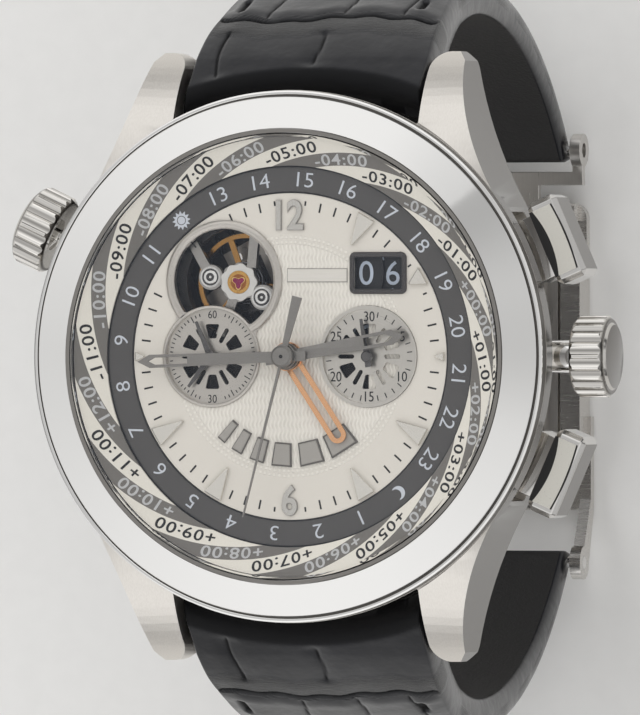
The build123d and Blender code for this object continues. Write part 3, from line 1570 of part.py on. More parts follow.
def strap_profile():
    """The strap seen from the side: thick and straight at the lugs, thinner and round at the clasp."""
    first_share = (90 + strap_slope_angle) / (90 + strap_slope_angle + strap_lower_turn_angle)
    half_first = first_share / 2
    half_second = (1 + first_share) / 2
    head = strap_head_thickness
    middle = strap_middle_thickness
    clasp = strap_clasp_thickness
    outer_head = strap_side(0, 1, head, strap_head_length)
    inner_head = strap_side(0, -1, head, strap_head_length)
    y, z, along_y, along_z = strap_frame(1)
    with BuildLine() as outline:
        Line(outer_head, strap_side(0, 1, head))
        ThreePointArc(strap_side(0, 1, head), strap_side(half_first, 1, (head + middle) / 2),
                      strap_side(first_share, 1, middle))
        ThreePointArc(strap_side(first_share, 1, middle), strap_side(half_second, 1, (middle + clasp) / 2),
                      strap_side(1, 1, clasp))
        ThreePointArc(strap_side(1, 1, clasp), (y + along_y * clasp / 2, z + along_z * clasp / 2),
                      strap_side(1, -1, clasp))
        ThreePointArc(strap_side(1, -1, clasp), strap_side(half_second, -1, (middle + clasp) / 2),
                      strap_side(first_share, -1, middle))
        ThreePointArc(strap_side(first_share, -1, middle), strap_side(half_first, -1, (head + middle) / 2),
                      strap_side(0, -1, head))
        Line(strap_side(0, -1, head), inner_head)
        Line(inner_head, outer_head)
    return outline.edges()


def strap_part():
    """The strap half at 12: leather that swings round the lug bar, with its end cut to clear the case."""
    end_y, end_z, _, _ = strap_frame(1)
    bar_line = Axis((0, bar_y, bar_z), (1, 0, 0))
    head_z = bar_z + strap_head_reach
    waist_z = bar_z - strap_waist_drop
    slope = math.radians(strap_slope_angle)
    head_plane = Plane(origin=(0, bar_y, bar_z), x_dir=(1, 0, 0),
                       z_dir=(0, math.sin(slope), -math.cos(slope)))
    with BuildPart() as strap:
        with BuildSketch(Plane.YZ.offset(-strap_head_half_width)):
            make_face(strap_profile())
        extrude(amount=2 * strap_head_half_width)
        with BuildSketch(Plane.XZ.offset(-2 * case_radius)):
            Polygon((-strap_head_half_width, head_z), (strap_head_half_width, head_z),
                    (strap_head_half_width, bar_z), (strap_waist_half_width, waist_z),
                    (strap_clasp_half_width, end_z), (strap_clasp_half_width, end_z - strap_head_reach),
                    (-strap_clasp_half_width, end_z - strap_head_reach), (-strap_clasp_half_width, end_z),
                    (-strap_waist_half_width, waist_z), (-strap_head_half_width, bar_z), align=None)
        extrude(amount=2 * case_radius, mode=Mode.INTERSECT)
        with BuildSketch(head_plane) as cutter:
            with BuildLine():
                wide = strap_head_half_width + overrun
                ThreePointArc((-wide, strap_head_gap_side), (0, strap_head_gap_middle),
                              (wide, strap_head_gap_side))
                Polyline((wide, strap_head_gap_side), (wide, strap_head_reach), (-wide, strap_head_reach),
                         (-wide, strap_head_gap_side))
            make_face()
        revolve(cutter.sketch, axis=bar_line, revolution_arc=80, mode=Mode.SUBTRACT)
        revolve(cutter.sketch, axis=bar_line, revolution_arc=-80, mode=Mode.SUBTRACT)
        with BuildSketch(Plane.YZ.offset(-strap_head_half_width)):
            with Locations((bar_y, bar_z)):
                Circle(bar_radius + running_fit)
            with Locations((end_y, end_z)):
                Circle(clasp_bar_radius + clasp_bar_bore_gap)
        extrude(amount=2 * strap_head_half_width, mode=Mode.SUBTRACT)
    return strap.part


def make_straps():
    leather = strap_part()
    with BuildPart() as strap_12:
        add(leather)
    save(strap_12, "strap_12")
    with BuildPart() as strap_6:
        add(leather.mirror(Plane.XZ))
    save(strap_6, "strap_6")


def make_clasp_bar():
    end_y, end_z, _, _ = strap_frame(1)
    half_length = clasp_ear_inner - 2 * bar_body_margin
    with BuildPart() as clasp_bar_12:
        with BuildSketch(Plane.YZ.offset(-half_length)):
            with Locations((end_y, end_z)):
                Circle(clasp_bar_radius)
        extrude(amount=2 * half_length)
    save(clasp_bar_12, "clasp_bar_12")


def make_cover_pins():
    end_y, end_z, _, _ = strap_frame(1)
    hinge_half = cover_rail_inner + hinge_ear_thickness
    bar_half = clasp_ear_inner + clasp_ear_thickness
    with BuildPart() as cover_pins:
        with BuildSketch(Plane.YZ.offset(-hinge_half)):
            with Locations((cover_hinge_y, cover_hinge_z)):
                Circle(hinge_pin_radius)
        extrude(amount=2 * hinge_half)
        with BuildSketch(Plane.YZ.offset(-bar_half)):
            with Locations((-end_y, end_z)):
                Circle(clasp_bar_radius)
        extrude(amount=2 * bar_half)
    save(cover_pins, "cover_pins")


def ear_pair(y, z, inner, thickness, radius):
    """Two round ears, one each side, standing on a hinge or bar line."""
    for start in (inner, -inner - thickness):
        with BuildSketch(Plane.YZ.offset(start)) as ear:
            with Locations((y, z)):
                Circle(radius)
        extrude(ear.sketch, amount=thickness)


def make_clasp_cover():
    end_y, end_z, _, _ = strap_frame(1)
    plate_top_z = cover_foot + cover_thickness
    with BuildPart() as clasp_cover:
        with BuildSketch(Plane.XY.offset(cover_foot)):
            RectangleRounded(2 * cover_half_width, 2 * cover_half_length, cover_thickness)
        extrude(amount=cover_thickness)
        chamfer(clasp_cover.edges().group_by(Axis.Z)[0], cover_bevel)
        for start in (cover_rail_inner, -cover_half_width):
            with BuildSketch(Plane.YZ.offset(start)):
                with Locations((0, (plate_top_z + cover_rail_top) / 2)):
                    Rectangle(2 * cover_rail_half_length, cover_rail_top - plate_top_z)
            extrude(amount=cover_half_width - cover_rail_inner)
        ear_pair(cover_hinge_y, cover_hinge_z, cover_rail_inner, hinge_ear_thickness, hinge_ear_radius)
        for start in (cover_rail_inner, -cover_rail_inner - hinge_ear_thickness):
            with BuildSketch(Plane.YZ.offset(start)):
                with Locations((cover_hinge_y, (plate_top_z + cover_hinge_z) / 2)):
                    Rectangle(2 * hinge_ear_radius, cover_hinge_z - plate_top_z)
            extrude(amount=hinge_ear_thickness)
        for start in (clasp_ear_inner, -clasp_ear_inner - clasp_ear_thickness):
            with BuildSketch(Plane.YZ.offset(start)):
                with BuildLine():
                    Polyline((-end_y + clasp_ear_radius, end_z), (-end_y, end_z - clasp_ear_radius),
                             (-cover_half_length, cover_foot + cover_bevel),
                             (-cover_half_length + cover_rail_inner, cover_foot + cover_bevel),
                             (-cover_half_length + cover_rail_inner, plate_top_z),
                             (-cover_half_length + overrun, plate_top_z), (-end_y + clasp_ear_radius, end_z))
                make_face()
                with Locations((-end_y, end_z)):
                    Circle(clasp_ear_radius)
            extrude(amount=clasp_ear_thickness)
        with BuildSketch(Plane.YZ.offset(-2 * cover_half_width)):
            with Locations((-end_y, end_z)):
                Circle(clasp_bar_radius + seat_fit)
            with Locations((cover_hinge_y, cover_hinge_z)):
                Circle(hinge_pin_radius + seat_fit)
            with Locations((0, button_foot + button_height / 2)):
                Rectangle(2 * (button_half_length + running_fit), button_height + 2 * running_fit)
        extrude(amount=4 * cover_half_width, mode=Mode.SUBTRACT)
    save(clasp_cover, "clasp_cover")


def make_middle_blade():
    with BuildPart() as middle_blade:
        with BuildSketch(Plane.XY.offset(middle_blade_foot)):
            with Locations((0, (cover_hinge_y + blade_hinge_y) / 2)):
                Rectangle(2 * blade_half_width, cover_hinge_y - blade_hinge_y)
            with Locations((0, blade_hinge_y)):
                Rectangle(2 * (inner_blade_half_width + hinge_gap), 2 * (hinge_ear_radius + hinge_gap),
                          mode=Mode.SUBTRACT)
        extrude(amount=blade_thickness)
        with BuildSketch(Plane.YZ.offset(-blade_half_width)):
            with Locations((cover_hinge_y, cover_hinge_z)):
                Circle(hinge_ear_radius)
        extrude(amount=2 * blade_half_width)
        ear_pair(blade_hinge_y, blade_hinge_z, inner_blade_half_width + hinge_gap,
                 blade_half_width - inner_blade_half_width - hinge_gap, hinge_ear_radius)
        with BuildSketch(Plane.YZ.offset(-blade_half_width)):
            with Locations((cover_hinge_y, cover_hinge_z)):
                Circle(hinge_pin_radius + running_fit)
            with Locations((blade_hinge_y, blade_hinge_z)):
                Circle(hinge_pin_radius + seat_fit)
        extrude(amount=2 * blade_half_width, mode=Mode.SUBTRACT)
    save(middle_blade, "middle_blade")


def make_inner_blade():
    end_y, end_z, _, _ = strap_frame(1)
    bar_end = cross_bar_y + cross_bar_length
    with BuildPart() as inner_blade:
        with BuildSketch(Plane.XY.offset(inner_blade_foot)):
            with Locations((0, (blade_hinge_y + bar_end) / 2)):
                Rectangle(2 * inner_blade_half_width, bar_end - blade_hinge_y)
            with Locations((0, cross_bar_y + cross_bar_length / 2)):
                Rectangle(2 * (clasp_ear_inner + clasp_ear_thickness), cross_bar_length)
        extrude(amount=blade_thickness)
        with BuildSketch(Plane.YZ.offset(-inner_blade_half_width)):
            with Locations((blade_hinge_y, blade_hinge_z)):
                Circle(hinge_ear_radius)
        extrude(amount=2 * inner_blade_half_width)
        ear_pair(end_y, end_z, clasp_ear_inner, clasp_ear_thickness, clasp_ear_radius)
        for start in (clasp_ear_inner, -clasp_ear_inner - clasp_ear_thickness):
            with BuildSketch(Plane.YZ.offset(start)):
                with Locations(((bar_end + end_y) / 2, inner_blade_foot + blade_thickness / 2)):
                    Rectangle(end_y - bar_end, blade_thickness)
            extrude(amount=clasp_ear_thickness)
        with BuildSketch(Plane.YZ.offset(-2 * blade_half_width)):
            with Locations((blade_hinge_y, blade_hinge_z)):
                Circle(hinge_pin_radius + running_fit)
            with Locations((end_y, end_z)):
                Circle(clasp_bar_radius + running_fit)
        extrude(amount=4 * blade_half_width, mode=Mode.SUBTRACT)
    save(inner_blade, "inner_blade")


def make_blade_hinge_pin():
    with BuildPart() as blade_hinge_pin:
        with BuildSketch(Plane.YZ.offset(-blade_half_width)):
            with Locations((blade_hinge_y, blade_hinge_z)):
                Circle(hinge_pin_radius)
        extrude(amount=2 * blade_half_width)
    save(blade_hinge_pin, "blade_hinge_pin")


def make_button(side, name):
    start = button_inner if side > 0 else -button_outer
    with BuildPart() as button:
        with BuildSketch(Plane.YZ.offset(start)):
            with Locations((0, button_foot + button_height / 2)):
                Rectangle(2 * button_half_length, button_height)
        extrude(amount=button_outer - button_inner)
        outer_face = button.faces().sort_by(Axis.X)[-1 if side > 0 else 0]
        chamfer(outer_face.edges(), bore_inset)
    save(button, name)


make_case_middle()
make_bezel()
make_crystal()
make_gaskets()
make_case_back()
make_back_glass()
make_movement_ring()
make_spring_bars()
make_stem_tubes()
make_dial()
make_heart_frame()
make_minute_counter()
make_hour_markers()
make_date_frame()
make_reserve_blocks()
make_hour_24_ring()
make_city_ring()
make_minute_hand()
make_hour_hand()
make_chrono_hand()
make_reserve_hand()
make_small_seconds()
make_counter_hand()
make_centre_wheel()
make_third_wheel()
make_fourth_wheel()
make_escape_wheel()
make_barrel()
make_balance_wheel()
make_hairspring()
make_balance_bridge()
make_bridge_screws()
make_shock_setting()
make_cap_jewel()
make_shock_spring()
make_pallet_fork()
make_main_plate()
make_train_bridge()
make_rotor()
make_rotor_bearing()
make_date_disc(units_x, units_y, units_radius, units_foot, "date_units_disc")
make_date_disc(tens_x, tens_y, tens_radius, tens_foot, "date_tens_disc")
make_crown(crown_angle, "crown_3")
make_crown(second_crown_angle, "crown_10")
make_winding_stem()
make_setting_lever()
make_city_stem()
make_pusher(pusher_angles[0], "pusher_2")
make_pusher(pusher_angles[1], "pusher_4")
make_straps()
make_clasp_bar()
make_cover_pins()
make_clasp_cover()
make_middle_blade()
make_inner_blade()
make_blade_hinge_pin()
make_button(1, "clasp_button_right")
make_button(-1, "clasp_button_left")
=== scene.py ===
import bpy
import bmesh
import json
import math
from mathutils import Matrix, Vector


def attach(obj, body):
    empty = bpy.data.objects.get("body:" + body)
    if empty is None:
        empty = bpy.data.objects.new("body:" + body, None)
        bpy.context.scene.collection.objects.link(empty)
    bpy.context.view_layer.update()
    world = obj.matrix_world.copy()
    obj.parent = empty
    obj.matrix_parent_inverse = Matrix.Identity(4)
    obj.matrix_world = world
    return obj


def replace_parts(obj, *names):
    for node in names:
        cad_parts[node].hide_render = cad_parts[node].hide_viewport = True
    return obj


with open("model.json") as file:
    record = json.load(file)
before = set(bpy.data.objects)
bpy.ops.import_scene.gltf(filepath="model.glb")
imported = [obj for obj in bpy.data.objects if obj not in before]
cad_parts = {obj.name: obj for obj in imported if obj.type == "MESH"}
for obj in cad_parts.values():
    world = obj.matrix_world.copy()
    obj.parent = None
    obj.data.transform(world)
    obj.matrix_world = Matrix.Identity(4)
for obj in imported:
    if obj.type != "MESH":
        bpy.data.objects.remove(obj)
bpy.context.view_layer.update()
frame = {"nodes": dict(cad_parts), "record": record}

# Lengths are millimetres until a piece is finished, and clock angles run clockwise from 12.
MM = 0.001

DIAL_TOP = 10.6
RING_TOP = 10.7
# Radius and height at the foot of the city ring's slope, and then at its top
CITY_RING = (16.35, 11.0, 18.9, 12.5)
SWIRL_TWIST = 33.5
COUNTER_X = 7.0
HEART = (-5.87, 6.5)
BALANCE = (-4.95, 6.35)
PRINT_DEPTH = 0.015
STEM_HEIGHT = 6.5
FLOOR_HEIGHT = -48.05
# Heights of what shows in the dial's windows and of what stands on the dial
BRIDGE_SHADOW_DISC, HUB_FOOT, WELL_FOOT, TREFOIL_FOOT = 4.45, 9.34, 9.45, 9.46
COUNTER_FLOOR, SCALE_TOP, RIM_FOOT, PIN_FOOT = 9.98, 10.36, 10.74, 13.25
# Screws of the balance bridge, posts deep behind the balance, and the bare plate
LEFT_SCREW, RIGHT_SCREW = (-7.5, 6.8), (-2.9, 5.06)
LEFT_POST, RIGHT_POST = (-5.9, 8.5), (-3.3, 8.9)
NAME_PLATE = (2.45, 6.94)
# The city ring's bands: their reach outwards, and where the cream part of each begins and ends
BAND_EDGE, BAND_REACH, BAND_START, BAND_SPAN, CREAM_SPAN = 19.2, 2.85, 738.1, 30.0, 16.3
# Clock angles of what stands out of the case
CLOCKS = {"pusher_2": 66.5, "pusher_4": 113.5, "crown_3": 90.0, "crown_10": 295.0}
# The 24 hour ring: radius of its figures, and the hour that stands at the top
FIGURE_RADIUS, TOP_HOUR = 15.17, 14.65
# Centres and tops of the date discs, and how far out their figures are
UNITS_DISC, UNITS_REACH = (5.06, 6.4, 9.55), (3.79, 0.73, 0)
TENS_DISC, TENS_REACH = (3.55, 7.13, 9.9), (3.05, 0, 0)
DATE_TALL, DATE_STRETCH = 2.06, 0.98
# The picture in pixels, the dial's centre in it, and pixels per millimetre
PICTURE, DIAL_IN_PICTURE, PIXELS = (640, 715), (286.2, 356.5), 11.6


def tone(red, green, blue):
    """A screen colour from 0 to 255 as the linear colour that a shader takes."""
    parts = []
    for level in (red, green, blue):
        share = level / 255
        parts.append(share / 12.92 if share <= 0.04045 else ((share + 0.055) / 1.055) ** 2.4)
    return (*parts, 1.0)


class Value:
    """A shader socket that can stand in a sum."""

    def __init__(self, finish, socket):
        self.finish = finish
        self.socket = socket

    def __add__(self, other):
        return self.finish.maths("ADD", self, other)

    def __sub__(self, other):
        return self.finish.maths("SUBTRACT", self, other)

    def __mul__(self, other):
        return self.finish.maths("MULTIPLY", self, other)

    def __truediv__(self, other):
        return self.finish.maths("DIVIDE", self, other)

    def __mod__(self, other):
        return self.finish.maths("FLOORED_MODULO", self, other)

    def __pow__(self, other):
        return self.finish.maths("POWER", self, other)

    def __rsub__(self, other):
        return self.finish.maths("SUBTRACT", other, self)

    def __rtruediv__(self, other):
        return self.finish.maths("DIVIDE", other, self)

    __radd__ = __add__
    __rmul__ = __mul__


class Finish:
    """One surface finish of the watch, or the light around it, built from shader nodes."""

    def __init__(self, name, world=None):
        self.material = world or bpy.data.materials.new(name)
        self.material.use_nodes = True
        self.tree = self.material.node_tree
        self.tree.nodes.clear()

    def node(self, kind, settings=None, inputs=None, output=0):
        made = self.tree.nodes.new(kind)
        for name, setting in (settings or {}).items():
            if name == "stops":
                for index, (place, colour) in enumerate(setting):
                    stop = made.color_ramp.elements[index] if index < 2 else made.color_ramp.elements.new(place)
                    stop.position = place
                    stop.color = colour
            else:
                setattr(made, name, setting)
        for key, value in (inputs or {}).items():
            if isinstance(value, Value):
                self.tree.links.new(value.socket, made.inputs[key])
            else:
                made.inputs[key].default_value = value
        return Value(self, made.outputs[output]) if made.outputs else None

    def maths(self, operation, *values):
        return self.node("ShaderNodeMath", {"operation": operation}, dict(enumerate(values)))

    def place(self):
        """Where the surface is on the watch, in millimetres."""
        where = self.node("ShaderNodeTexCoord", output=3)
        return self.node("ShaderNodeVectorMath", {"operation": "SCALE"}, {0: where, 3: 1 / MM})

    def parts(self, vector):
        split = self.node("ShaderNodeSeparateXYZ", inputs={0: vector}).socket.node
        return [Value(self, socket) for socket in split.outputs]

    def join(self, x, y, z=0.0):
        return self.node("ShaderNodeCombineXYZ", inputs={0: x, 1: y, 2: z})

    def noise(self, vector, scale, detail=2.0, roughness=0.5):
        return self.node("ShaderNodeTexNoise", inputs={"Vector": vector, "Scale": scale, "Detail": detail,
                                                       "Roughness": roughness})

    def mix(self, factor, first, second):
        return self.node("ShaderNodeMix", {"data_type": "RGBA"}, {0: factor, 6: first, 7: second}, 2)

    def step(self, value, low, high):
        """0 below low, 1 above high and smooth between them."""
        return self.node("ShaderNodeMapRange", {"interpolation_type": "SMOOTHSTEP"},
                         {0: value, 1: low, 2: high, 3: 0.0, 4: 1.0})

    def bump(self, height, depth):
        return self.node("ShaderNodeBump", inputs={"Height": height, "Distance": depth * MM, "Strength": 1.0})

    def shade(self, **values):
        """The finish itself; the names of the values are the shader's, with _ for a space."""
        inputs = {name.replace("_", " "): value for name, value in values.items()}
        surface = self.node("ShaderNodeBsdfPrincipled", inputs=inputs)
        self.node("ShaderNodeOutputMaterial", inputs={0: surface})

    def polar(self, x=0.0, y=0.0):
        """Distance in millimetres and clockwise angle in degrees about a point of the dial."""
        px, py, pz = self.parts(self.place())
        across = px - x
        up = py - y
        radius = (across * across + up * up) ** 0.5
        angle = self.maths("ARCTAN2", across, up) * (180 / math.pi)
        return radius, angle, pz


def shifted(colour, share):
    """A colour made lighter or darker by a share, white at most."""
    return tuple(min(1.0, part * share) for part in colour[:3]) + (1.0,)


def brushed(name, colour, grain, roughness=0.3, depth=0.004, base=0.0):
    """Fine straight brushing. grain says how often the lines change along X, Y and Z, per millimetre."""
    look = Finish(name)
    x, y, z = look.parts(look.place())
    line = look.noise(look.join(x * grain[0], y * grain[1], z * grain[2]), 1.0, 3.0, 0.6)
    cloud = look.noise(look.place(), 0.12, 2.0)
    look.shade(Base_Color=look.mix(line, shifted(colour, 0.9), shifted(colour, 1.07)), Metallic=1.0 - base,
               Roughness=line * 0.12 + (cloud * 0.06 + roughness - 0.09),
               Normal=look.bump(line, depth))
    return look.material


def turned(name, colour, roughness=0.3, rings=9.0, depth=0.003, x=0.0, y=0.0):
    """Circular brushing about an upright axis."""
    look = Finish(name)
    radius, angle, height = look.polar(x, y)
    line = look.noise(look.join(radius * rings, height * rings, angle * 0.01), 1.0, 3.0, 0.6)
    look.shade(Base_Color=look.mix(line, shifted(colour, 0.9), shifted(colour, 1.07)), Metallic=1.0,
               Roughness=line * 0.12 + (roughness - 0.06), Normal=look.bump(line, depth))
    return look.material


def polished(name, colour, roughness=0.07):
    """Mirror polish with the faint haze and hairlines of a worn surface."""
    look = Finish(name)
    haze = look.noise(look.place(), 0.35, 3.0)
    x, y, z = look.parts(look.place())
    hairline = look.noise(look.join(x * 3, y * 0.4 + x, z * 2), 6.0, 4.0, 0.7)
    look.shade(Base_Color=colour, Metallic=1.0,
               Roughness=haze * 0.05 + look.step(hairline, 0.62, 0.7) * 0.06 + (roughness - 0.02),
               Normal=look.bump(haze, 0.004))
    return look.material


def painted(name, colour, roughness=0.5, grain=6.0, depth=0.004, coat=0.0, metal=0.0):
    """An even coat of paint or lacquer with a fine grain."""
    look = Finish(name)
    grit = look.noise(look.place(), grain, 3.0)
    look.shade(Base_Color=look.mix(grit, shifted(colour, 0.92), shifted(colour, 1.08)), Metallic=metal,
               Roughness=grit * 0.14 + (roughness - 0.07), Coat_Weight=coat, Normal=look.bump(grit, depth))
    return look.material


def case_steel():
    """Brushed steel with its grain along the lugs."""
    look = Finish("case_steel")
    x, y, z = look.parts(look.place())
    line = look.noise(look.join(x * 9, y * 0.35, z * 9), 1.0, 3.0, 0.6)
    cloud = look.noise(look.place(), 0.1, 2.0)
    look.shade(Base_Color=look.mix(line, tone(216, 211, 204), tone(240, 236, 230)), Metallic=1.0,
               Roughness=line * 0.14 + (cloud * 0.06 + 0.26), Normal=look.bump(line, 0.006))
    return look.material


def dial_silver():
    """Silvered dial: plain outside, engine turned with fine wavy columns inside a double border of dots."""
    look = Finish("dial_silver")
    radius, angle, _ = look.polar()
    x, y, z = look.parts(look.place())
    wave = look.maths("SINE", y * 6.2 + look.maths("SINE", x * 3.0) * 0.8)
    column = look.maths("SINE", x * 18.0 + look.maths("SINE", y * 6.2) * 1.1)
    engine_turned = column * (wave * 0.25 + 0.75) * 0.5 + 0.5
    inside = 1.0 - look.step(radius, 9.55, 9.62)
    dots = look.maths("SINE", angle * (math.pi / 180 * 150)) * 0.5 + 0.5
    border_one = look.step(radius, 9.62, 9.68) * (1.0 - look.step(radius, 9.86, 9.92)) * dots
    border_two = look.step(radius, 10.06, 10.12) * (1.0 - look.step(radius, 10.3, 10.36)) * dots
    relief = engine_turned * inside + (border_one + border_two) * 0.8
    grain = look.noise(look.join(x, y, z), 14.0, 3.0)
    plain = look.mix(grain, tone(201, 196, 187), tone(210, 205, 196))
    # Painted highlight: the raised engine turning and dots are painted lighter than the plain dial
    colour = look.mix(relief * 0.8, plain, tone(228, 224, 215))
    look.shade(Base_Color=colour, Roughness=grain * 0.1 + 0.45, Specular_IOR_Level=0.25,
               Normal=look.bump(relief + grain * 0.05, 0.06))
    return look.material


def ring_grey():
    """Dark grey ring with a soft sunburst."""
    look = Finish("ring_grey")
    radius, angle, _ = look.polar()
    ray = look.noise(look.join(angle * 1.6, radius * 0.2, 0.0), 1.0, 3.0, 0.6)
    grain = look.noise(look.place(), 12.0, 2.0)
    look.shade(Base_Color=look.mix(ray, tone(73, 71, 70), tone(85, 83, 81)), Specular_IOR_Level=0.15,
               Roughness=ray * 0.12 + (grain * 0.08 + 0.4), Normal=look.bump(grain + ray, 0.004))
    return look.material


def swirl_bands():
    """Twelve cream and twelve grey bands that swirl outwards clockwise."""
    look = Finish("swirl_bands")
    radius, angle, _ = look.polar()
    along = (angle + (BAND_EDGE - radius) * (SWIRL_TWIST / BAND_REACH) + BAND_START) % BAND_SPAN
    cream = look.step(along, 0.0, 0.12) * (1.0 - look.step(along, CREAM_SPAN, CREAM_SPAN + 0.12))
    grain = look.noise(look.place(), 9.0, 3.0)
    pale = look.mix(grain, tone(208, 203, 192), tone(226, 222, 212))
    dark = look.mix(grain, tone(104, 101, 96), tone(116, 112, 107))
    look.shade(Base_Color=look.mix(cream, dark, pale), Specular_IOR_Level=0.2, Roughness=grain * 0.1 + 0.4,
               Normal=look.bump(grain, 0.006))
    return look.material


def spotted_plate():
    """Nickel plate with overlapping turned spots, painted dark as shade of the movement's depth."""
    look = Finish("spotted_plate")
    x, y, _ = look.parts(look.place())
    row = look.maths("FLOOR", y / 0.9)
    across = (x + row * 0.45) % 0.9 - 0.45
    up = y % 0.9 - 0.45
    spot = (across * across + up * up) ** 0.5
    swirl = look.maths("SINE", spot * 38.0) * 0.5 + 0.5
    grain = look.noise(look.place(), 10.0, 2.0)
    look.shade(Base_Color=look.mix(swirl, tone(52, 51, 50), tone(80, 78, 76)), Metallic=1.0,
               Roughness=swirl * 0.12 + (grain * 0.1 + 0.24), Normal=look.bump(swirl + spot, 0.02))
    return look.material


def striped_bridge():
    """Nickel bridge with broad polishing stripes, painted dark as shade of the movement's depth; each stripe goes
    from darker to lighter across.
    """
    look = Finish("striped_bridge")
    x, y, z = look.parts(look.place())
    across = ((x + y * 0.35) % 1.6) / 1.6
    line = look.noise(look.join((x + y * 0.35) * 8, (y - x * 0.35) * 0.5, z), 1.0, 3.0)
    look.shade(Base_Color=look.mix(across, tone(70, 68, 66), tone(104, 101, 98)), Metallic=1.0,
               Roughness=line * 0.12 + (across * 0.1 + 0.2), Normal=look.bump(across + line * 0.2, 0.03))
    return look.material


def sapphire():
    """Clear coated glass that lets the lamps through to the dial."""
    look = Finish("sapphire")
    clean = look.noise(look.place(), 0.3, 2.0)
    glass = look.node("ShaderNodeBsdfPrincipled", inputs={
        "Base Color": (1, 1, 1, 1), "Roughness": clean * 0.01, "IOR": 1.77, "Transmission Weight": 1.0,
        "Specular Tint": (0.2, 0.22, 0.26, 1)})
    clear = look.node("ShaderNodeBsdfTransparent")
    path = look.node("ShaderNodeLightPath").socket.node
    shadow = Value(look, path.outputs["Is Shadow Ray"])
    diffuse = Value(look, path.outputs["Is Diffuse Ray"])
    seen = look.node("ShaderNodeMixShader", inputs={0: look.maths("MAXIMUM", shadow, diffuse), 1: glass, 2: clear})
    look.node("ShaderNodeOutputMaterial", inputs={0: seen})
    return look.material


def ruby():
    look = Finish("ruby")
    cloud = look.noise(look.place(), 3.0, 2.0)
    look.shade(Base_Color=look.mix(cloud, tone(98, 10, 52), tone(138, 22, 76)), Roughness=cloud * 0.05 + 0.12,
               IOR=1.77, Specular_IOR_Level=0.3)
    return look.material


def fluted(crown):
    """Polished crown with painted shade darkening its flutes; the ridges keep the steel's own colour."""
    look = Finish(crown + "_steel")
    clock = CLOCKS[crown]
    x, y, z = look.parts(look.place())
    aside = x * math.cos(math.radians(clock)) - y * math.sin(math.radians(clock))
    rise = z - STEM_HEIGHT
    reach = (aside * aside + rise * rise) ** 0.5
    haze = look.noise(look.place(), 0.35, 3.0)
    # Painted shade: the flutes' colour is darkened, the ridges and the end stay bright
    ridge = look.step(reach, 3.2, 3.5) + (1.0 - look.step(reach, 2.9, 3.1)) * 0.7
    look.shade(Base_Color=look.mix(ridge, tone(96, 93, 89), tone(232, 229, 224)), Metallic=1.0,
               Roughness=haze * 0.05 + 0.08, Normal=look.bump(haze, 0.004))
    return look.material


def alligator():
    """Glossy black leather: smooth scales, dull grooves between them painted dark as shade, and fine wrinkles beside
    the folds; the head next to the case is painted dark as shadow.
    """
    look = Finish("alligator")
    where = look.place()
    fine = look.noise(where, 1.6, 5.0, 0.65)
    cloud = look.noise(where, 0.14, 2.0)
    x, y, z = look.parts(where)
    wrinkle = look.noise(look.join(x * 1.1, y * 3.2, z * 3.2), 1.0, 5.0, 0.7)
    groove_and_shade = look.node("ShaderNodeAttribute", {"attribute_name": "groove_and_shade"}, output=2)
    crumple = look.node("ShaderNodeAttribute", {"attribute_name": "crumple"}, output=2)
    scale_tone = look.mix(cloud, tone(15, 16, 20), tone(26, 27, 33))
    swell = look.noise(where, 0.45, 2.0)
    # Painted shade: grooves, creases and the head next to the case are coloured near black
    look.shade(Base_Color=look.mix(look.step(groove_and_shade, 0.1, 0.9), scale_tone, tone(7, 7, 8)),
               Roughness=fine * 0.1 + (groove_and_shade * 0.25 + crumple * 0.1 + 0.26), Specular_IOR_Level=0.16,
               Coat_Weight=(1.0 - look.step(groove_and_shade, 0.05, 0.7)) * (cloud * 0.6 + 0.5), Coat_Roughness=0.26,
               Normal=look.bump(swell * 0.4 + fine * 0.05 + wrinkle * (crumple * 4.2 + 0.02), 0.34))
    return look.material


def lining():
    look = Finish("lining")
    where = look.place()
    pore = look.noise(where, 3.0, 4.0, 0.65)
    look.shade(Base_Color=look.mix(pore, tone(24, 23, 23), tone(34, 33, 33)), Roughness=pore * 0.2 + 0.5,
               Normal=look.bump(pore, 0.08))
    return look.material


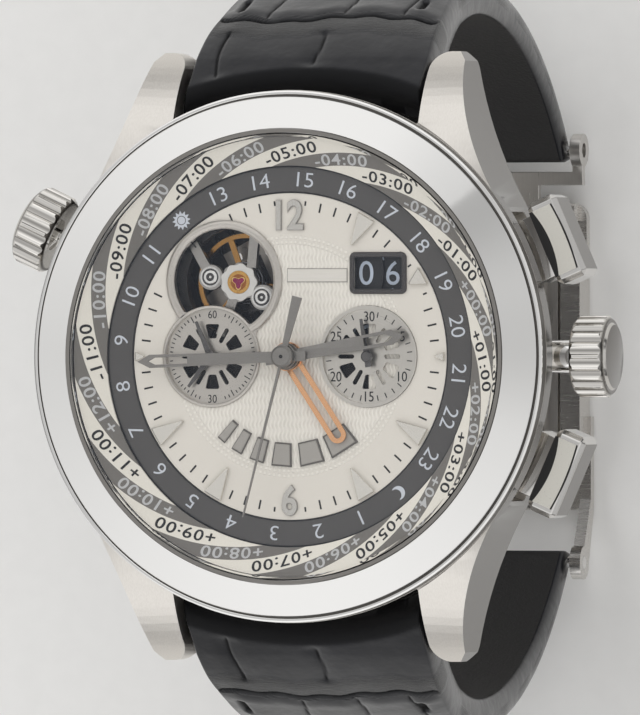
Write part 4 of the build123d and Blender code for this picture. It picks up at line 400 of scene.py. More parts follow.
looks = {
    "case_steel": case_steel(),
    "polished_steel": polished("polished_steel", tone(236, 235, 233), 0.06),
    # Polished steel painted dark: painted shade on the case flanks and on the outward ends of the crowns and pushers
    "painted_shade_steel": polished("painted_shade_steel", tone(122, 119, 116), 0.12),
    "crown_3_steel": fluted("crown_3"),
    "crown_10_steel": fluted("crown_10"),
    "worked_steel": polished("worked_steel", tone(214, 212, 209), 0.1),
    "back_steel": turned("back_steel", tone(214, 211, 207), 0.26),
    "clasp_steel": brushed("clasp_steel", tone(216, 213, 209), (0.4, 9, 9), 0.26),
    "blade_steel": brushed("blade_steel", tone(205, 202, 198), (9, 0.4, 9), 0.3),
    "sapphire": sapphire(),
    # Pale steel plate: a painted reflection on the pushers' flat tops
    "painted_reflection_steel": painted("painted_reflection_steel", tone(222, 219, 210), 0.3, 12.0, 0.003, 0.0, 0.9),
    "gasket": painted("gasket", tone(112, 109, 105), 0.5),
    "dial_silver": dial_silver(),
    "satin_frame": painted("satin_frame", tone(202, 197, 190), 0.3, 14.0, 0.002, 0.0, 0.95),
    "satin_counter": turned("satin_counter", tone(212, 208, 201), 0.3, 12.0, 0.004, COUNTER_X, 0),
    "facet": polished("facet", tone(236, 232, 224), 0.24),
    "date_frame": painted("date_frame", tone(70, 67, 66), 0.3, 8.0, 0.003, 0.3, 0.6),
    "reserve_grey": painted("reserve_grey", tone(156, 152, 146), 0.42, 12.0, 0.004, 0.0, 0.2),
    "spotted_plate": spotted_plate(),
    "striped_bridge": striped_bridge(),
    "satin_nickel": painted("satin_nickel", tone(226, 224, 220), 0.36, 16.0, 0.003, 0.0, 0.9),
    # Dark steel of small parts, also painted shade in the sunk rings of the balance bridge screws
    "dark_steel_and_groove_shade": polished("dark_steel_and_groove_shade", tone(92, 90, 90), 0.26),
    "gilt": turned("gilt", tone(214, 168, 98), 0.24, 14.0),
    "bright_gilt": polished("bright_gilt", tone(236, 196, 132), 0.2),
    "gilt_balance": turned("gilt_balance", tone(178, 134, 78), 0.2, 14.0, 0.003, *BALANCE),
    "ruby": ruby(),
    "bridge_nickel": brushed("bridge_nickel", tone(172, 169, 165), (7, 7, 7), 0.3, 0.004),
    "numeral_steel": polished("numeral_steel", tone(214, 211, 205), 0.2),
    "spring_steel": polished("spring_steel", tone(168, 170, 176), 0.2),
    "hand_grey": brushed("hand_grey", tone(140, 137, 133), (6, 6, 6), 0.36, 0.003, 0.2),
    "hand_dark": brushed("hand_dark", tone(98, 96, 95), (6, 6, 6), 0.36, 0.003, 0.3),
    "rose_gold": polished("rose_gold", tone(244, 188, 142), 0.2),
    "ring_grey": ring_grey(),
    "swirl_bands": swirl_bands(),
    "date_black": painted("date_black", tone(22, 23, 26), 0.4),
    # Black print, also a strip of painted shade on the pushers
    "black_print_and_shade": painted("black_print_and_shade", tone(20, 19, 19), 0.6, 10.0, 0.002),
    "white_print": painted("white_print", tone(186, 190, 197), 0.45, 10.0, 0.002),
    "pale_print": painted("pale_print", tone(178, 178, 178), 0.45, 10.0, 0.002),
    "date_print": painted("date_print", tone(176, 186, 200), 0.45, 10.0, 0.002),
    "name_plate": brushed("name_plate", tone(224, 220, 212), (0.6, 10, 10), 0.34, 0.003, 0.5),
    "alligator": alligator(),
    "lining": lining(),
    # Darker copy of the gilt: painted shade in the jewel well
    "gilt_in_painted_shade": painted("gilt_in_painted_shade", tone(150, 92, 44), 0.4, 10.0, 0.002, 0.0, 0.6),
    # Darker grey: painted shade round the numerals and the bare plate
    "painted_edge_shade": painted("painted_edge_shade", tone(160, 156, 150), 0.4, 8.0, 0.002, 0.0, 0.5),
    # Darker grey: painted shade in the bezel's groove, on its outer wall and round the power reserve blocks
    "painted_groove_shade": painted("painted_groove_shade", tone(104, 101, 97), 0.5, 8.0, 0.002, 0.0, 0.5),
    # Nickel painted darker as shade of the movement's depth
    "shaded_deep_nickel": brushed("shaded_deep_nickel", tone(150, 145, 139), (5, 5, 5), 0.34, 0.004),
    # Near black: painted shade for the depth under the train bridge
    "painted_depth_shade": painted("painted_depth_shade", tone(46, 44, 44), 0.4, 8.0, 0.004, 0.0, 0.6),
}

node_looks = {
    "case_middle": "case_steel", "bezel": "polished_steel", "crystal": "sapphire", "gaskets": "gasket",
    "case_back": "back_steel", "back_glass": "sapphire", "movement_ring": "satin_nickel",
    "spring_bars": "dark_steel_and_groove_shade", "stem_tubes": "polished_steel", "dial": "dial_silver",
    "heart_frame": "satin_frame", "minute_counter": "satin_counter", "hour_markers": "facet",
    "date_frame": "date_frame", "reserve_blocks": "reserve_grey", "main_plate": "spotted_plate",
    "train_bridge": "striped_bridge", "balance_bridge": "bridge_nickel", "bridge_screws": "worked_steel",
    "shock_setting": "gilt", "cap_jewel": "ruby", "shock_spring": "gilt", "hairspring": "spring_steel",
    "rotor_bearing": "dark_steel_and_groove_shade", "minute_hand": "hand_grey", "centre_wheel": "gilt",
    "hour_hand": "hand_grey", "hour_24_ring": "ring_grey", "chrono_seconds_hand": "hand_grey",
    "minute_counter_hand": "hand_dark", "power_reserve_hand": "rose_gold", "small_seconds_hand": "hand_dark",
    "fourth_wheel": "gilt", "third_wheel": "gilt", "escape_wheel": "dark_steel_and_groove_shade",
    "pallet_fork": "dark_steel_and_groove_shade", "balance_wheel": "gilt_balance", "barrel": "gilt",
    "rotor": "striped_bridge", "city_ring": "swirl_bands", "crown_10": "crown_10_steel",
    "city_stem": "polished_steel", "setting_lever": "dark_steel_and_groove_shade", "crown_3": "crown_3_steel",
    "winding_stem": "polished_steel", "pusher_2": "worked_steel", "pusher_4": "worked_steel",
    "date_units_disc": "date_black", "date_tens_disc": "date_black", "strap_12": "alligator",
    "clasp_bar_12": "polished_steel", "strap_6": "alligator", "clasp_cover": "clasp_steel",
    "cover_pins": "polished_steel", "middle_blade": "blade_steel", "blade_hinge_pin": "polished_steel",
    "inner_blade": "blade_steel", "clasp_button_right": "polished_steel",
    "clasp_button_left": "polished_steel",
}
body_of = {node: body for body, nodes in frame["record"]["behaviour"]["bodies"].items() for node in nodes}
for node, look in node_looks.items():
    solid = frame["nodes"][node]
    solid.data.materials.clear()
    solid.data.materials.append(looks[look])


def added(name, data):
    """A new object of the scene."""
    thing = bpy.data.objects.new(name, data)
    bpy.context.scene.collection.objects.link(thing)
    return thing


def finished(name, shape, node, *finishes, crisp=35):
    """Turns a shape in millimetres into a piece of the watch that moves, and is painted, with a node of the CAD."""
    bmesh.ops.scale(shape, vec=(MM, MM, MM), verts=shape.verts)
    mesh = bpy.data.meshes.new(name)
    shape.to_mesh(mesh)
    shape.free()
    mesh.shade_smooth()
    mesh.set_sharp_from_angle(angle=math.radians(crisp))
    for look in finishes:
        mesh.materials.append(looks[look])
    piece = added(name, mesh)
    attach(piece, body_of[node])
    return piece


def dressed(node, look, edge=0.06, crisp=30):
    """A copy of a solid with its loose triangles merged and its edges softly broken."""
    shape = bmesh.new()
    shape.from_mesh(frame["nodes"][node].data)
    bmesh.ops.scale(shape, vec=(1 / MM,) * 3, verts=shape.verts)
    bmesh.ops.remove_doubles(shape, verts=shape.verts, dist=0.0005)
    bmesh.ops.dissolve_limit(shape, angle_limit=math.radians(0.4), verts=shape.verts, edges=shape.edges)
    for face in shape.faces:
        face.material_index = 0
    piece = finished(node + "_dressed", shape, node, look, crisp=crisp)
    if edge:
        soft = piece.modifiers.new("broken_edges", "BEVEL")
        soft.width = edge * MM
        soft.segments = 2
        soft.limit_method = "ANGLE"
        soft.angle_limit = math.radians(30)
        soft.harden_normals = True
    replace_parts(piece, node)


def lathed(profile, steps=192):
    """A solid of revolution from its closed profile of (radius, height) corners."""
    shape = bmesh.new()
    corners = [shape.verts.new((radius, 0, height)) for radius, height in profile]
    section = [shape.edges.new((corners[i - 1], corners[i])) for i in range(len(corners))
               if profile[i - 1][0] or profile[i][0]]
    bmesh.ops.spin(shape, geom=corners + section, cent=(0, 0, 0), axis=(0, 0, 1), angle=math.tau, steps=steps,
                   use_merge=True)
    bmesh.ops.remove_doubles(shape, verts=shape.verts, dist=0.0005)
    bmesh.ops.recalc_face_normals(shape, faces=shape.faces)
    return shape


def placed(shape, place):
    """The same shape, moved to its place."""
    bmesh.ops.transform(shape, matrix=place, verts=shape.verts)
    return shape


def at(x, y, height):
    return Matrix.Translation((x, y, height))


def turned_by(degrees):
    """A turn about the upright axis, anticlockwise."""
    return Matrix.Rotation(math.radians(degrees), 4, "Z")


bezel_profile = ((19.0, 10.8), (19.0, 12.9), (19.65, 12.9), (19.65, 13.13), (19.72, 13.17), (22.38, 12.15),
                 (22.43, 12.1), (22.46, 11.85), (22.57, 11.85), (22.6, 11.97), (22.65, 12.0), (22.8, 12.0),
                 (22.92, 11.93), (22.95, 11.85), (22.95, 10.8))
bezel_piece = finished("bezel_turned", lathed(bezel_profile), "bezel", "polished_steel", "painted_groove_shade", crisp=20)
# Painted shade: the groove floor and the outer wall of the bezel take the darker grey
for face in bezel_piece.data.polygons:
    reach = face.center.to_2d().length / MM
    if 22.44 < reach < 22.59 and face.center.z / MM > 11.0 or reach > 22.94:
        face.material_index = 1
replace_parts(bezel_piece, "bezel")


def dome(crown, rise, reach, steps=24):
    """Points of a dome from its crown out to its reach."""
    round_radius = (reach * reach + rise * rise) / (2 * rise)
    radii = [reach * step / steps for step in range(steps + 1)]
    return [(radius, crown - round_radius + math.sqrt(round_radius ** 2 - radius ** 2)) for radius in radii]


crystal_profile = dome(15.6, 2.05, 19.0) + [(19.3, 13.25), (19.3, 12.9), (19.0, 12.9)] + dome(14.5, 1.78, 18.95)[::-1]
crystal_piece = finished("crystal_turned", lathed(crystal_profile), "crystal", "sapphire", crisp=20)
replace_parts(crystal_piece, "crystal")

for node, edge in (("case_middle", 0.2), ("pusher_2", 0.1), ("pusher_4", 0.1),
                   ("crown_3", 0.09), ("crown_10", 0.09), ("heart_frame", 0.08), ("minute_counter", 0.08),
                   ("date_frame", 0.06), ("reserve_blocks", 0.04), ("balance_bridge", 0.05),
                   ("clasp_cover", 0.1), ("middle_blade", 0.06), ("inner_blade", 0.06), ("case_back", 0.06),
                   ("hour_hand", 0.03), ("minute_hand", 0.03)):
    dressed(node, node_looks[node], edge, 11 if node == "case_middle" else 30)


def curved_plate(half_length, inner, outer, sag_inner, sag_outer, foot, top):
    """A plate across the Y axis whose long sides bow outwards."""
    shape = bmesh.new()
    bmesh.ops.create_cube(shape, size=1.0)
    lengthwise = [edge for edge in shape.edges if abs(edge.verts[0].co.x - edge.verts[1].co.x) > 0.5]
    bmesh.ops.subdivide_edges(shape, edges=lengthwise, cuts=15, use_grid_fill=True)
    for vert in shape.verts:
        bow = 1 - (2 * vert.co.x) ** 2
        near, far = inner + sag_inner * bow, outer + sag_outer * bow
        vert.co = (2 * vert.co.x * half_length, near + (far - near) * (vert.co.y + 0.5),
                   foot + (top - foot) * (vert.co.z + 0.5))
    return shape


# Painted light on each pusher's top: a pale plate painted as the reflection on its flat top, over a black strip of
# painted shade that shows along its edges
for node in ("pusher_2", "pusher_4"):
    turn = turned_by(-CLOCKS[node])
    for name, look, extent in (("shade", "black_print_and_shade", (3.0, 23.98, 26.14, 0.0, 0.2, 8.6, 8.72)),
                               ("painted_reflection", "painted_reflection_steel", (3.0, 24.3, 26.0, 0.5, 0.2, 8.6, 8.76))):
        finished(f"{node}_{name}", placed(curved_plate(*extent), turn), node, look)


def islands(items, neighbours):
    """The items in groups that hang together."""
    waiting = set(items)
    while waiting:
        group, ends = [], [waiting.pop()]
        while ends:
            group.append(ends.pop())
            near = neighbours(group[-1]) & waiting
            waiting -= near
            ends += near
        yield group


def smooth_neighbours(face):
    return {other for edge in face.edges if edge.calc_face_angle(0.0) < math.radians(25)
            for other in edge.link_faces}


# Polished flanks painted dark as shade and dark reflection, and bright broken edges of the case
case_piece = bpy.data.objects["case_middle_dressed"]
case_piece.data.materials.append(looks["painted_shade_steel"])
case_piece.data.materials.append(looks["polished_steel"])
sides = bmesh.new()
sides.from_mesh(case_piece.data)
for group in islands(sides.faces, smooth_neighbours):
    area = sum(face.calc_area() for face in group)
    if sum(abs(face.normal.z) * face.calc_area() for face in group) / area < 0.35:
        for face in group:
            face.material_index = 1
sides.to_mesh(case_piece.data)
sides.free()
case_piece.modifiers["broken_edges"].material = 2
# The outward ends of the crowns and pushers take the same painted shade
for node, clock in CLOCKS.items():
    worked = bpy.data.objects[node + "_dressed"]
    worked.data.materials.append(looks["painted_shade_steel"])
    outward = Vector((math.sin(math.radians(clock)), math.cos(math.radians(clock)), 0))
    for face in worked.data.polygons:
        if face.normal.dot(outward) > 0.95:
            face.material_index = 1

# Painted shade: a darker, slightly larger and lower copy round each power reserve block
shade_outline = bmesh.new()
shade_outline.from_mesh(bpy.data.objects["reserve_blocks_dressed"].data)
bmesh.ops.scale(shade_outline, vec=(1 / MM,) * 3, verts=shade_outline.verts)
for block_verts in islands(shade_outline.verts, lambda vert: {edge.other_vert(vert) for edge in vert.link_edges}):
    middle = sum((vert.co for vert in block_verts), Vector()) / len(block_verts)
    for vert in block_verts:
        vert.co.xy = middle.xy + (vert.co.xy - middle.xy) * 1.13
        vert.co.z -= 0.07
finished("reserve_painted_shade", shade_outline, "reserve_blocks", "painted_groove_shade")


def on_dial(radius, clock, height):
    """Where a mark at a clock angle goes, with its top outwards."""
    across = radius * math.sin(math.radians(clock))
    up = radius * math.cos(math.radians(clock))
    return at(across, up, height) @ turned_by(-clock)


def letters(text, tall, stretch=1.0, depth=PRINT_DEPTH, weight=0.0, spacing=1.0):
    """Plain lettering, centred, with its foot at height 0."""
    curve = bpy.data.curves.new("letters", "FONT")
    curve.body = text
    curve.extrude = 1.0
    curve.offset = weight
    curve.space_character = spacing
    curve.resolution_u = 4
    holder = bpy.data.objects.new("letters", curve)
    mesh = bpy.data.meshes.new_from_object(holder)
    shape = bmesh.new()
    shape.from_mesh(mesh)
    bpy.data.objects.remove(holder)
    bpy.data.meshes.remove(mesh)
    low = Vector([min(v.co[axis] for v in shape.verts) for axis in range(3)])
    high = Vector([max(v.co[axis] for v in shape.verts) for axis in range(3)])
    middle = (low + high) / 2
    bmesh.ops.translate(shape, vec=(-middle.x, -middle.y, -low.z), verts=shape.verts)
    grow = tall / (high.y - low.y)
    bmesh.ops.scale(shape, vec=(grow * stretch, grow, depth / (high.z - low.z)), verts=shape.verts)
    return shape


def block(width, length, depth=PRINT_DEPTH):
    """A small flat bar that stands on height 0."""
    shape = bmesh.new()
    bmesh.ops.create_cube(shape, size=1.0)
    bmesh.ops.translate(shape, vec=(0, 0, 0.5), verts=shape.verts)
    bmesh.ops.scale(shape, vec=(width, length, depth), verts=shape.verts)
    return shape


def disc(radius, depth, sides=24):
    """A round plug that stands on height 0."""
    shape = bmesh.new()
    bmesh.ops.create_cone(shape, cap_ends=True, segments=sides, radius1=radius, radius2=radius, depth=depth)
    bmesh.ops.translate(shape, vec=(0, 0, depth / 2), verts=shape.verts)
    return shape


def ring(inner, outer, depth, sides=48):
    """A flat ring that stands on height 0."""
    return lathed(((inner, 0), (outer, 0), (outer, depth), (inner, depth)), sides)


def gathered(marks):
    """One shape from many, each moved to its place."""
    whole = bmesh.new()
    for shape, place in marks:
        placed(shape, place)
        passing = bpy.data.meshes.new("passing")
        shape.to_mesh(passing)
        shape.free()
        whole.from_mesh(passing)
        bpy.data.meshes.remove(passing)
    return whole


# The two straps
STRAP_BAR = (24.3, 3.0)
SLOPE = math.radians(45.6)
UPPER, LOWER = 26.0, 39.1
UPPER_LENGTH = UPPER * (math.pi / 2 - SLOPE)
STRAP_LENGTH = UPPER_LENGTH + LOWER * math.radians(48.5)


def strap_line(along):
    """Middle line of a strap: out from the centre, up, and its heading, at a distance from the lug bar."""
    out, up = STRAP_BAR
    if along < 0:
        return out + along * math.cos(SLOPE), up - along * math.sin(SLOPE), -SLOPE
    first = min(along, UPPER_LENGTH) / UPPER
    out += UPPER * (math.sin(SLOPE + first) - math.sin(SLOPE))
    up -= UPPER * (math.cos(SLOPE) - math.cos(SLOPE + first))
    second = max(0.0, along - UPPER_LENGTH) / LOWER
    out -= LOWER * (1 - math.cos(second))
    up -= LOWER * math.sin(second)
    return out, up, -SLOPE - first - second


def between(value, places, amounts):
    """A straight-line table."""
    for low, high, start, end in zip(places, places[1:], amounts, amounts[1:]):
        if value <= high:
            share = max(0.0, (value - low) / (high - low))
            return start + (end - start) * share
    return amounts[-1]


def smooth(value, low, high):
    share = min(1.0, max(0.0, (value - low) / (high - low)))
    return share * share * (3 - 2 * share)


# Each fold across the leather: distance from the bar, depth, width of the valley, and then the creases
# along the leather in the row of scales before it.
folds_12 = ((5.7, 0.62, 0.26, (-8.4, 0.2)), (13.3, 0.34, 0.3, (-5.4, 1.3, 6.9)), (20.4, 0.3, 0.3, (-7.2, -0.9, 4.9)),
            (27.0, 0.28, 0.3, (-4.3, 2.4)), (33.4, 0.28, 0.3, (-6.4, 0.2, 6.0)), (39.4, 0.26, 0.3, (-3.0, 3.6)),
            (45.0, 0.26, 0.3, (-6.2, 0.6, 5.6)), (60.0, 0.2, 0.3, (-3.4, 2.8)))
folds_6 = ((5.7, 0.66, 0.26, (-7.2, 0.4)), (13.9, 0.34, 0.3, (-3.0, 2.2, 7.4)), (20.9, 0.3, 0.3, (-6.4, -0.4, 5.6)),
           (27.6, 0.28, 0.3, (-3.6, 3.0)), (33.9, 0.28, 0.3, (-6.8, 0.4, 6.2)), (39.8, 0.26, 0.3, (-2.6, 3.8)),
           (45.4, 0.26, 0.3, (-6.0, 0.2, 5.4)), (60.0, 0.2, 0.3, (-3.0, 3.2)))


def scales(across, along, head_gap, folds, seed):
    """Depth of the leather below its smooth top, how deep in a groove it is (which also sets the painted shade in the
    grooves), and how crumpled.
    """
    depth = groove_and_shade = crumple = 0.0
    before = -9.0
    for index, (place, deep, wide, creases) in enumerate(folds):
        sway = 0.42 * math.sin(across * 0.42 + seed + index * 2.1) + 0.16 * math.sin(across * 1.7 + seed * 3 + index)
        gap = along - (place + sway)
        if abs(gap) < 3.0:
            valley = math.exp(-(gap / (wide * 0.62)) ** 2)
            lip = math.exp(-((gap - 1.1) / 0.8) ** 2) if index == 0 else 0.0
            depth += deep * valley + 0.16 * math.exp(-(gap / 1.3) ** 2) - 0.12 * lip
            groove_and_shade = max(groove_and_shade, valley)
            if index == 0:
                crumple = max(crumple, smooth(gap, -3.0, -1.6) * (1 - smooth(gap, -0.1, 0.5)))
            else:
                crumple = max(crumple, 0.5 * math.exp(-(gap / 1.2) ** 2))
        if before + 0.2 < along < place + sway:
            end = place - (2.3 if index == 0 else 0.0)
            start = before if index else 1.6 - head_gap
            fade = smooth(along, start, start + 1.0) * (1 - smooth(along, end - 0.4, end + 0.4))
            for crease in creases:
                bend = 0.25 * math.sin(along * 0.7 + crease) + (0.05 * (along - before) if index else 0.0)
                side = across - crease - bend
                if abs(side) < 2.5:
                    valley = math.exp(-(side / 0.16) ** 2) * fade
                    depth += 0.14 * valley + 0.1 * math.exp(-(side / 0.9) ** 2) * fade
                    groove_and_shade = max(groove_and_shade, 0.8 * valley)
        before = place + sway
    for notch, start, end in ((-8.4, 6.6, 9.4), (7.9, 6.8, 9.0)):
        side = across - notch - 0.06 * (along - start)
        fade = smooth(along, start, start + 0.5) * (1 - smooth(along, end - 0.5, end))
        valley = math.exp(-(side / 0.32) ** 2) * fade
        depth += 0.45 * valley
        groove_and_shade = max(groove_and_shade, valley)
    return depth, groove_and_shade, crumple


def make_strap(name, side, node, folds, seed):
    """One leather strap: a closed skin bent round the strap line, thick and padded, with sewn-down edges."""
    wraps, lengths, top_share = 190, 300, 0.78
    skin = bmesh.new()
    bmesh.ops.create_grid(skin, x_segments=wraps, y_segments=lengths, size=0.5)
    groove_and_shade_mark = skin.verts.layers.float.new("groove_and_shade")
    crumple_mark = skin.verts.layers.float.new("crumple")
    for face in skin.faces:
        middle = face.calc_center_median()
        face.material_index = 0 if middle.x + 0.5 < top_share + 0.03 else 1
    for vert in skin.verts:
        wrap, length = vert.co.x + 0.5, vert.co.y + 0.5
        on_top = wrap <= top_share
        turn = wrap / top_share if on_top else (wrap - top_share) / (1 - top_share)
        swing = math.radians(-90 + 180 * turn)
        reach = math.sin(swing) if on_top else -math.sin(swing)
        reach = math.copysign(1 - (1 - abs(reach)) ** 1.15, reach)
        arc = 24.2
        head_gap = 3.05 + arc - math.sqrt(arc * arc - (reach * 10.9) ** 2)
        along = -head_gap + (STRAP_LENGTH + 0.9 + head_gap) * length
        out, up, heading = strap_line(min(along, STRAP_LENGTH))
        extra = max(0.0, along - STRAP_LENGTH)
        out += math.cos(heading) * extra
        up += math.sin(heading) * extra
        half_width = between(up, (-44.5, -8.0, 3.0), (9.15, 9.85, 10.88)) if up < 3.0 else 10.88
        half_thick = between(along, (0.0, UPPER_LENGTH, STRAP_LENGTH), (2.28, 1.66, 1.36))
        end = min(1.0, (along + head_gap) / 1.7, (STRAP_LENGTH + 0.95 - along) / 1.2)
        closing = math.sqrt(max(0.0, 1 - (1 - end) ** 2))
        across = reach * half_width
        edge = 1 - abs(reach)
        wall = math.sqrt(max(0.0, 1 - max(0.0, 1 - edge / 0.045) ** 2))
        if on_top:
            depth, groove_and_shade, crumple = scales(across, along, head_gap, folds, seed)
            pad = (0.08 + 0.47 * smooth(along, 2.0, 8.0)) * (1 - smooth(edge, 0.0, 0.26))
            rim = smooth(edge, 0.02, 0.1)
            height = (half_thick - pad) * wall * closing - depth * rim * closing
            # Painted shadow: the head of the strap next to the case is marked like a groove and so painted dark
            vert[groove_and_shade_mark] = max(groove_and_shade * rim, 0.7 * (1 - smooth(along + head_gap, 1.2, 2.6)))
            vert[crumple_mark] = crumple
        else:
            height = -half_thick * wall * closing
        place = Vector((across, out - math.sin(heading) * height, up + math.cos(heading) * height))
        place.y *= side
        vert.co = place
    bmesh.ops.remove_doubles(skin, verts=skin.verts, dist=0.002)
    bmesh.ops.holes_fill(skin, edges=skin.edges, sides=0)
    bmesh.ops.recalc_face_normals(skin, faces=skin.faces)
    strap = finished(name, skin, node, "alligator", "lining", crisp=80)
    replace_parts(strap, node)


make_strap("leather_12", 1, "strap_12", folds_12, 0.4)
make_strap("leather_6", -1, "strap_6", folds_6, 2.0)


# Painted shade: a dark disc under the train bridge that darkens the depth seen through its windows
finished("bridge_painted_shadow", placed(disc(14.6, 0.3, 96), at(0, 0, BRIDGE_SHADOW_DISC)), "train_bridge", "painted_depth_shade")

# Round screws of the balance bridge, and the lobed plate between them
screw_profile = ((0.0, 9.3), (0.0, 9.4), (0.11, 9.4), (0.15, 9.33), (0.3, 9.33), (0.36, 9.44), (0.55, 9.47),
                 (0.6, 9.43), (0.6, 9.36), (0.72, 9.36), (0.74, 9.39), (0.82, 9.39), (0.84, 9.36), (0.9, 9.36),
                 (0.9, 9.3))
for name, x, y in (("left", *LEFT_SCREW), ("right", *RIGHT_SCREW)):
    screw = finished(f"bridge_screw_{name}", placed(lathed(screw_profile, 64), at(x, y, 0)), "bridge_screws",
                     "polished_steel", "dark_steel_and_groove_shade", crisp=20)
    # The sunk rings of each screw take the dark steel as painted shade
    for face in screw.data.polygons:
        reach = (face.center.to_2d() / MM - Vector((x, y))).length
        if 0.14 < reach < 0.33 or 0.6 < reach < 0.72:
            face.material_index = 1
    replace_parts(screw, "bridge_screws")
hub = ring(1.0, 1.55, 0.08, 144)
for vert in hub.verts:
    if vert.co.xy.length > 1.3:
        lobe = math.cos(9 * math.atan2(vert.co.y, vert.co.x))
        vert.co.xy = vert.co.xy * (1.0 + 0.05 * lobe)
finished("hub_plate", placed(hub, at(*BALANCE, HUB_FOOT)), "balance_bridge", "satin_nickel")
# Painted shade: the well under the trefoil is a darker copy of the gilt setting
finished("jewel_well", placed(disc(0.69, 0.02, 64), at(*BALANCE, WELL_FOOT)), "shock_setting", "gilt_in_painted_shade")
for name, look, trefoil in (("trefoil_spring", "bright_gilt", ring(0.94, 1.12, 0.05, 96)),
                            ("trefoil_ruby", "ruby", disc(0.95, 0.03, 96))):
    for vert in trefoil.verts:
        turn = math.atan2(vert.co.y, vert.co.x) - math.radians(30)
        vert.co.xy = vert.co.xy * (0.44 + 0.15 * math.cos(3 * turn))
    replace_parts(finished(name, placed(trefoil, at(*BALANCE, TREFOIL_FOOT)), "shock_spring", look), "shock_spring")

# Rolled rims of the balance window and of the small seconds counter
for name, x, y, inner, outer, low, rise in (("heart_rim", *HEART, 4.47, 5.17, RIM_FOOT, 0.17),
                                            ("seconds_rim", -COUNTER_X, 0, 4.06, 4.36, RIM_FOOT, 0.09)):
    bow = [(inner + (outer - inner) * step / 12, low + rise * math.sin(math.pi * step / 12)) for step in range(13)]
    rim_shape = placed(lathed(bow + [(outer, low - 0.1), (inner, low - 0.1)]), at(x, y, 0))
    if name == "heart_rim":
        hidden = [face for face in rim_shape.faces
                  if (face.calc_center_median().xy - Vector((-COUNTER_X, 0))).length < 4.3]
        bmesh.ops.delete(rim_shape, geom=hidden, context="FACES")
    finished(name, rim_shape, "heart_frame", "satin_frame", crisp=60)

# Plates, a jewelled post and a screw seen deep behind the balance
# The size, place and turn of each plate
deep_bars = (((1.5, 4.2, 0.4), (-5.3, 9.0, 5.2), -62), ((1.1, 3.4, 0.5), (-3.0, 7.6, 5.4), 24),
             ((1.6, 2.6, 0.4), (-7.6, 4.6, 5.3), 40), ((0.9, 2.4, 0.3), (-2.6, 5.4, 5.9), -70))
deep_parts = [(block(*size), at(*place) @ turned_by(turn)) for size, place, turn in deep_bars]
deep_parts += [(disc(0.85, 0.5, 40), at(*LEFT_POST, 5.4)), (disc(0.6, 0.4, 40), at(*RIGHT_POST, 5.6))]
# Their nickel is painted darker as shade of the depth they sit in
finished("deep_plates", gathered(deep_parts), "train_bridge", "shaded_deep_nickel")
deep_heads = [(disc(0.32, 0.2, 32), at(*LEFT_POST, 5.92)), (disc(0.26, 0.2, 32), at(*RIGHT_POST, 6.02))]
finished("deep_screws", gathered(deep_heads), "bridge_screws", "polished_steel")

# Pale floor under the right half of the minute counter's windows
under = disc(3.0, 0.04, 96)
for vert in under.verts:
    vert.co.x = max(vert.co.x, -0.15)
finished("counter_floor", placed(under, at(COUNTER_X, 0, COUNTER_FLOOR)), "minute_counter", "dial_silver")

# Pin at the middle of the hands
finished("hand_pin", placed(disc(0.16, 0.03, 32), at(0, 0, PIN_FOOT)), "chrono_seconds_hand", "black_print_and_shade")

# Print on the dial
minute_marks = []
for minute in range(60):
    if minute % 5 == 0:
        continue
    # Shorter beside the two numerals and beside the date
    inner, outer = 12.55, 13.35
    if minute in (1, 59, 29, 31):
        inner = 12.95
    elif 8 < minute < 12:
        inner = 13.0
    minute_marks.append((block(0.15, outer - inner), on_dial((outer + inner) / 2, minute * 6, DIAL_TOP)))
finished("minute_track", gathered(minute_marks), "dial", "black_print_and_shade")

# Numerals set on the dial, each on a slightly larger and lower copy in darker grey that paints shade round its edges
for name, text, tall, stretch, x, y in (("numeral_12", "12", 2.55, 0.86, 0.02, 12.12),
                                        ("numeral_6", "6", 2.6, 0.85, 0.0, -12.3)):
    figure = letters(text, tall, stretch, 0.22, 0.02)
    finished(name, placed(figure, at(x, y, DIAL_TOP)), "hour_markers", "numeral_steel")
    rim = letters(text, tall + 0.1, stretch * 1.01, 0.1, 0.04)
    finished(name + "_rim", placed(rim, at(x, y, DIAL_TOP)), "hour_markers", "painted_edge_shade")

# Bare plate beside the date, on a slightly larger border in darker grey that paints shade round it
for name, look, size in (("plate_painted_shade", "painted_edge_shade", (5.38, 1.2, 0.05)),
                         ("bare_plate", "name_plate", (5.25, 1.05, 0.09))):
    finished(name, placed(block(*size), at(*NAME_PLATE, DIAL_TOP)), "dial", look)

# Scales of the two counters
seconds_scale = []
for second in range(60):
    if second in (58, 59, 0, 1, 2, 28, 29, 30, 31, 32):
        continue
    inner, outer, width = (3.3, 3.88, 0.075) if second % 5 == 0 else (3.56, 3.82, 0.085)
    seconds_scale.append((block(width, outer - inner),
                          at(-COUNTER_X, 0, 0) @ on_dial((inner + outer) / 2, second * 6, SCALE_TOP)))
seconds_scale += [(letters("60", 0.68, 0.85), at(-COUNTER_X, 3.6, SCALE_TOP)),
                  (letters("30", 0.7, 0.85), at(-COUNTER_X, -3.62, SCALE_TOP))]
finished("seconds_scale", gathered(seconds_scale), "heart_frame", "black_print_and_shade")
minutes_scale = []
for minute in range(30):
    if minute % 5 and minute != 29:
        minutes_scale.append((block(0.085, 0.46), at(COUNTER_X, 0, 0) @ on_dial(3.62, minute * 12, SCALE_TOP)))
for index, text in enumerate(("30", "5", "10", "15", "20", "25")):
    angle = math.radians(60 * index)
    minutes_scale.append((letters(text, 0.86, 0.85),
                          at(COUNTER_X + 3.42 * math.sin(angle), 3.42 * math.cos(angle), SCALE_TOP)))
finished("minutes_scale", gathered(minutes_scale), "minute_counter", "black_print_and_shade")

def on_ring(hour, lift=0.0):
    """Where a figure of the 24 hour ring goes."""
    return on_dial(FIGURE_RADIUS, (hour - TOP_HOUR) * 15, RING_TOP + lift)


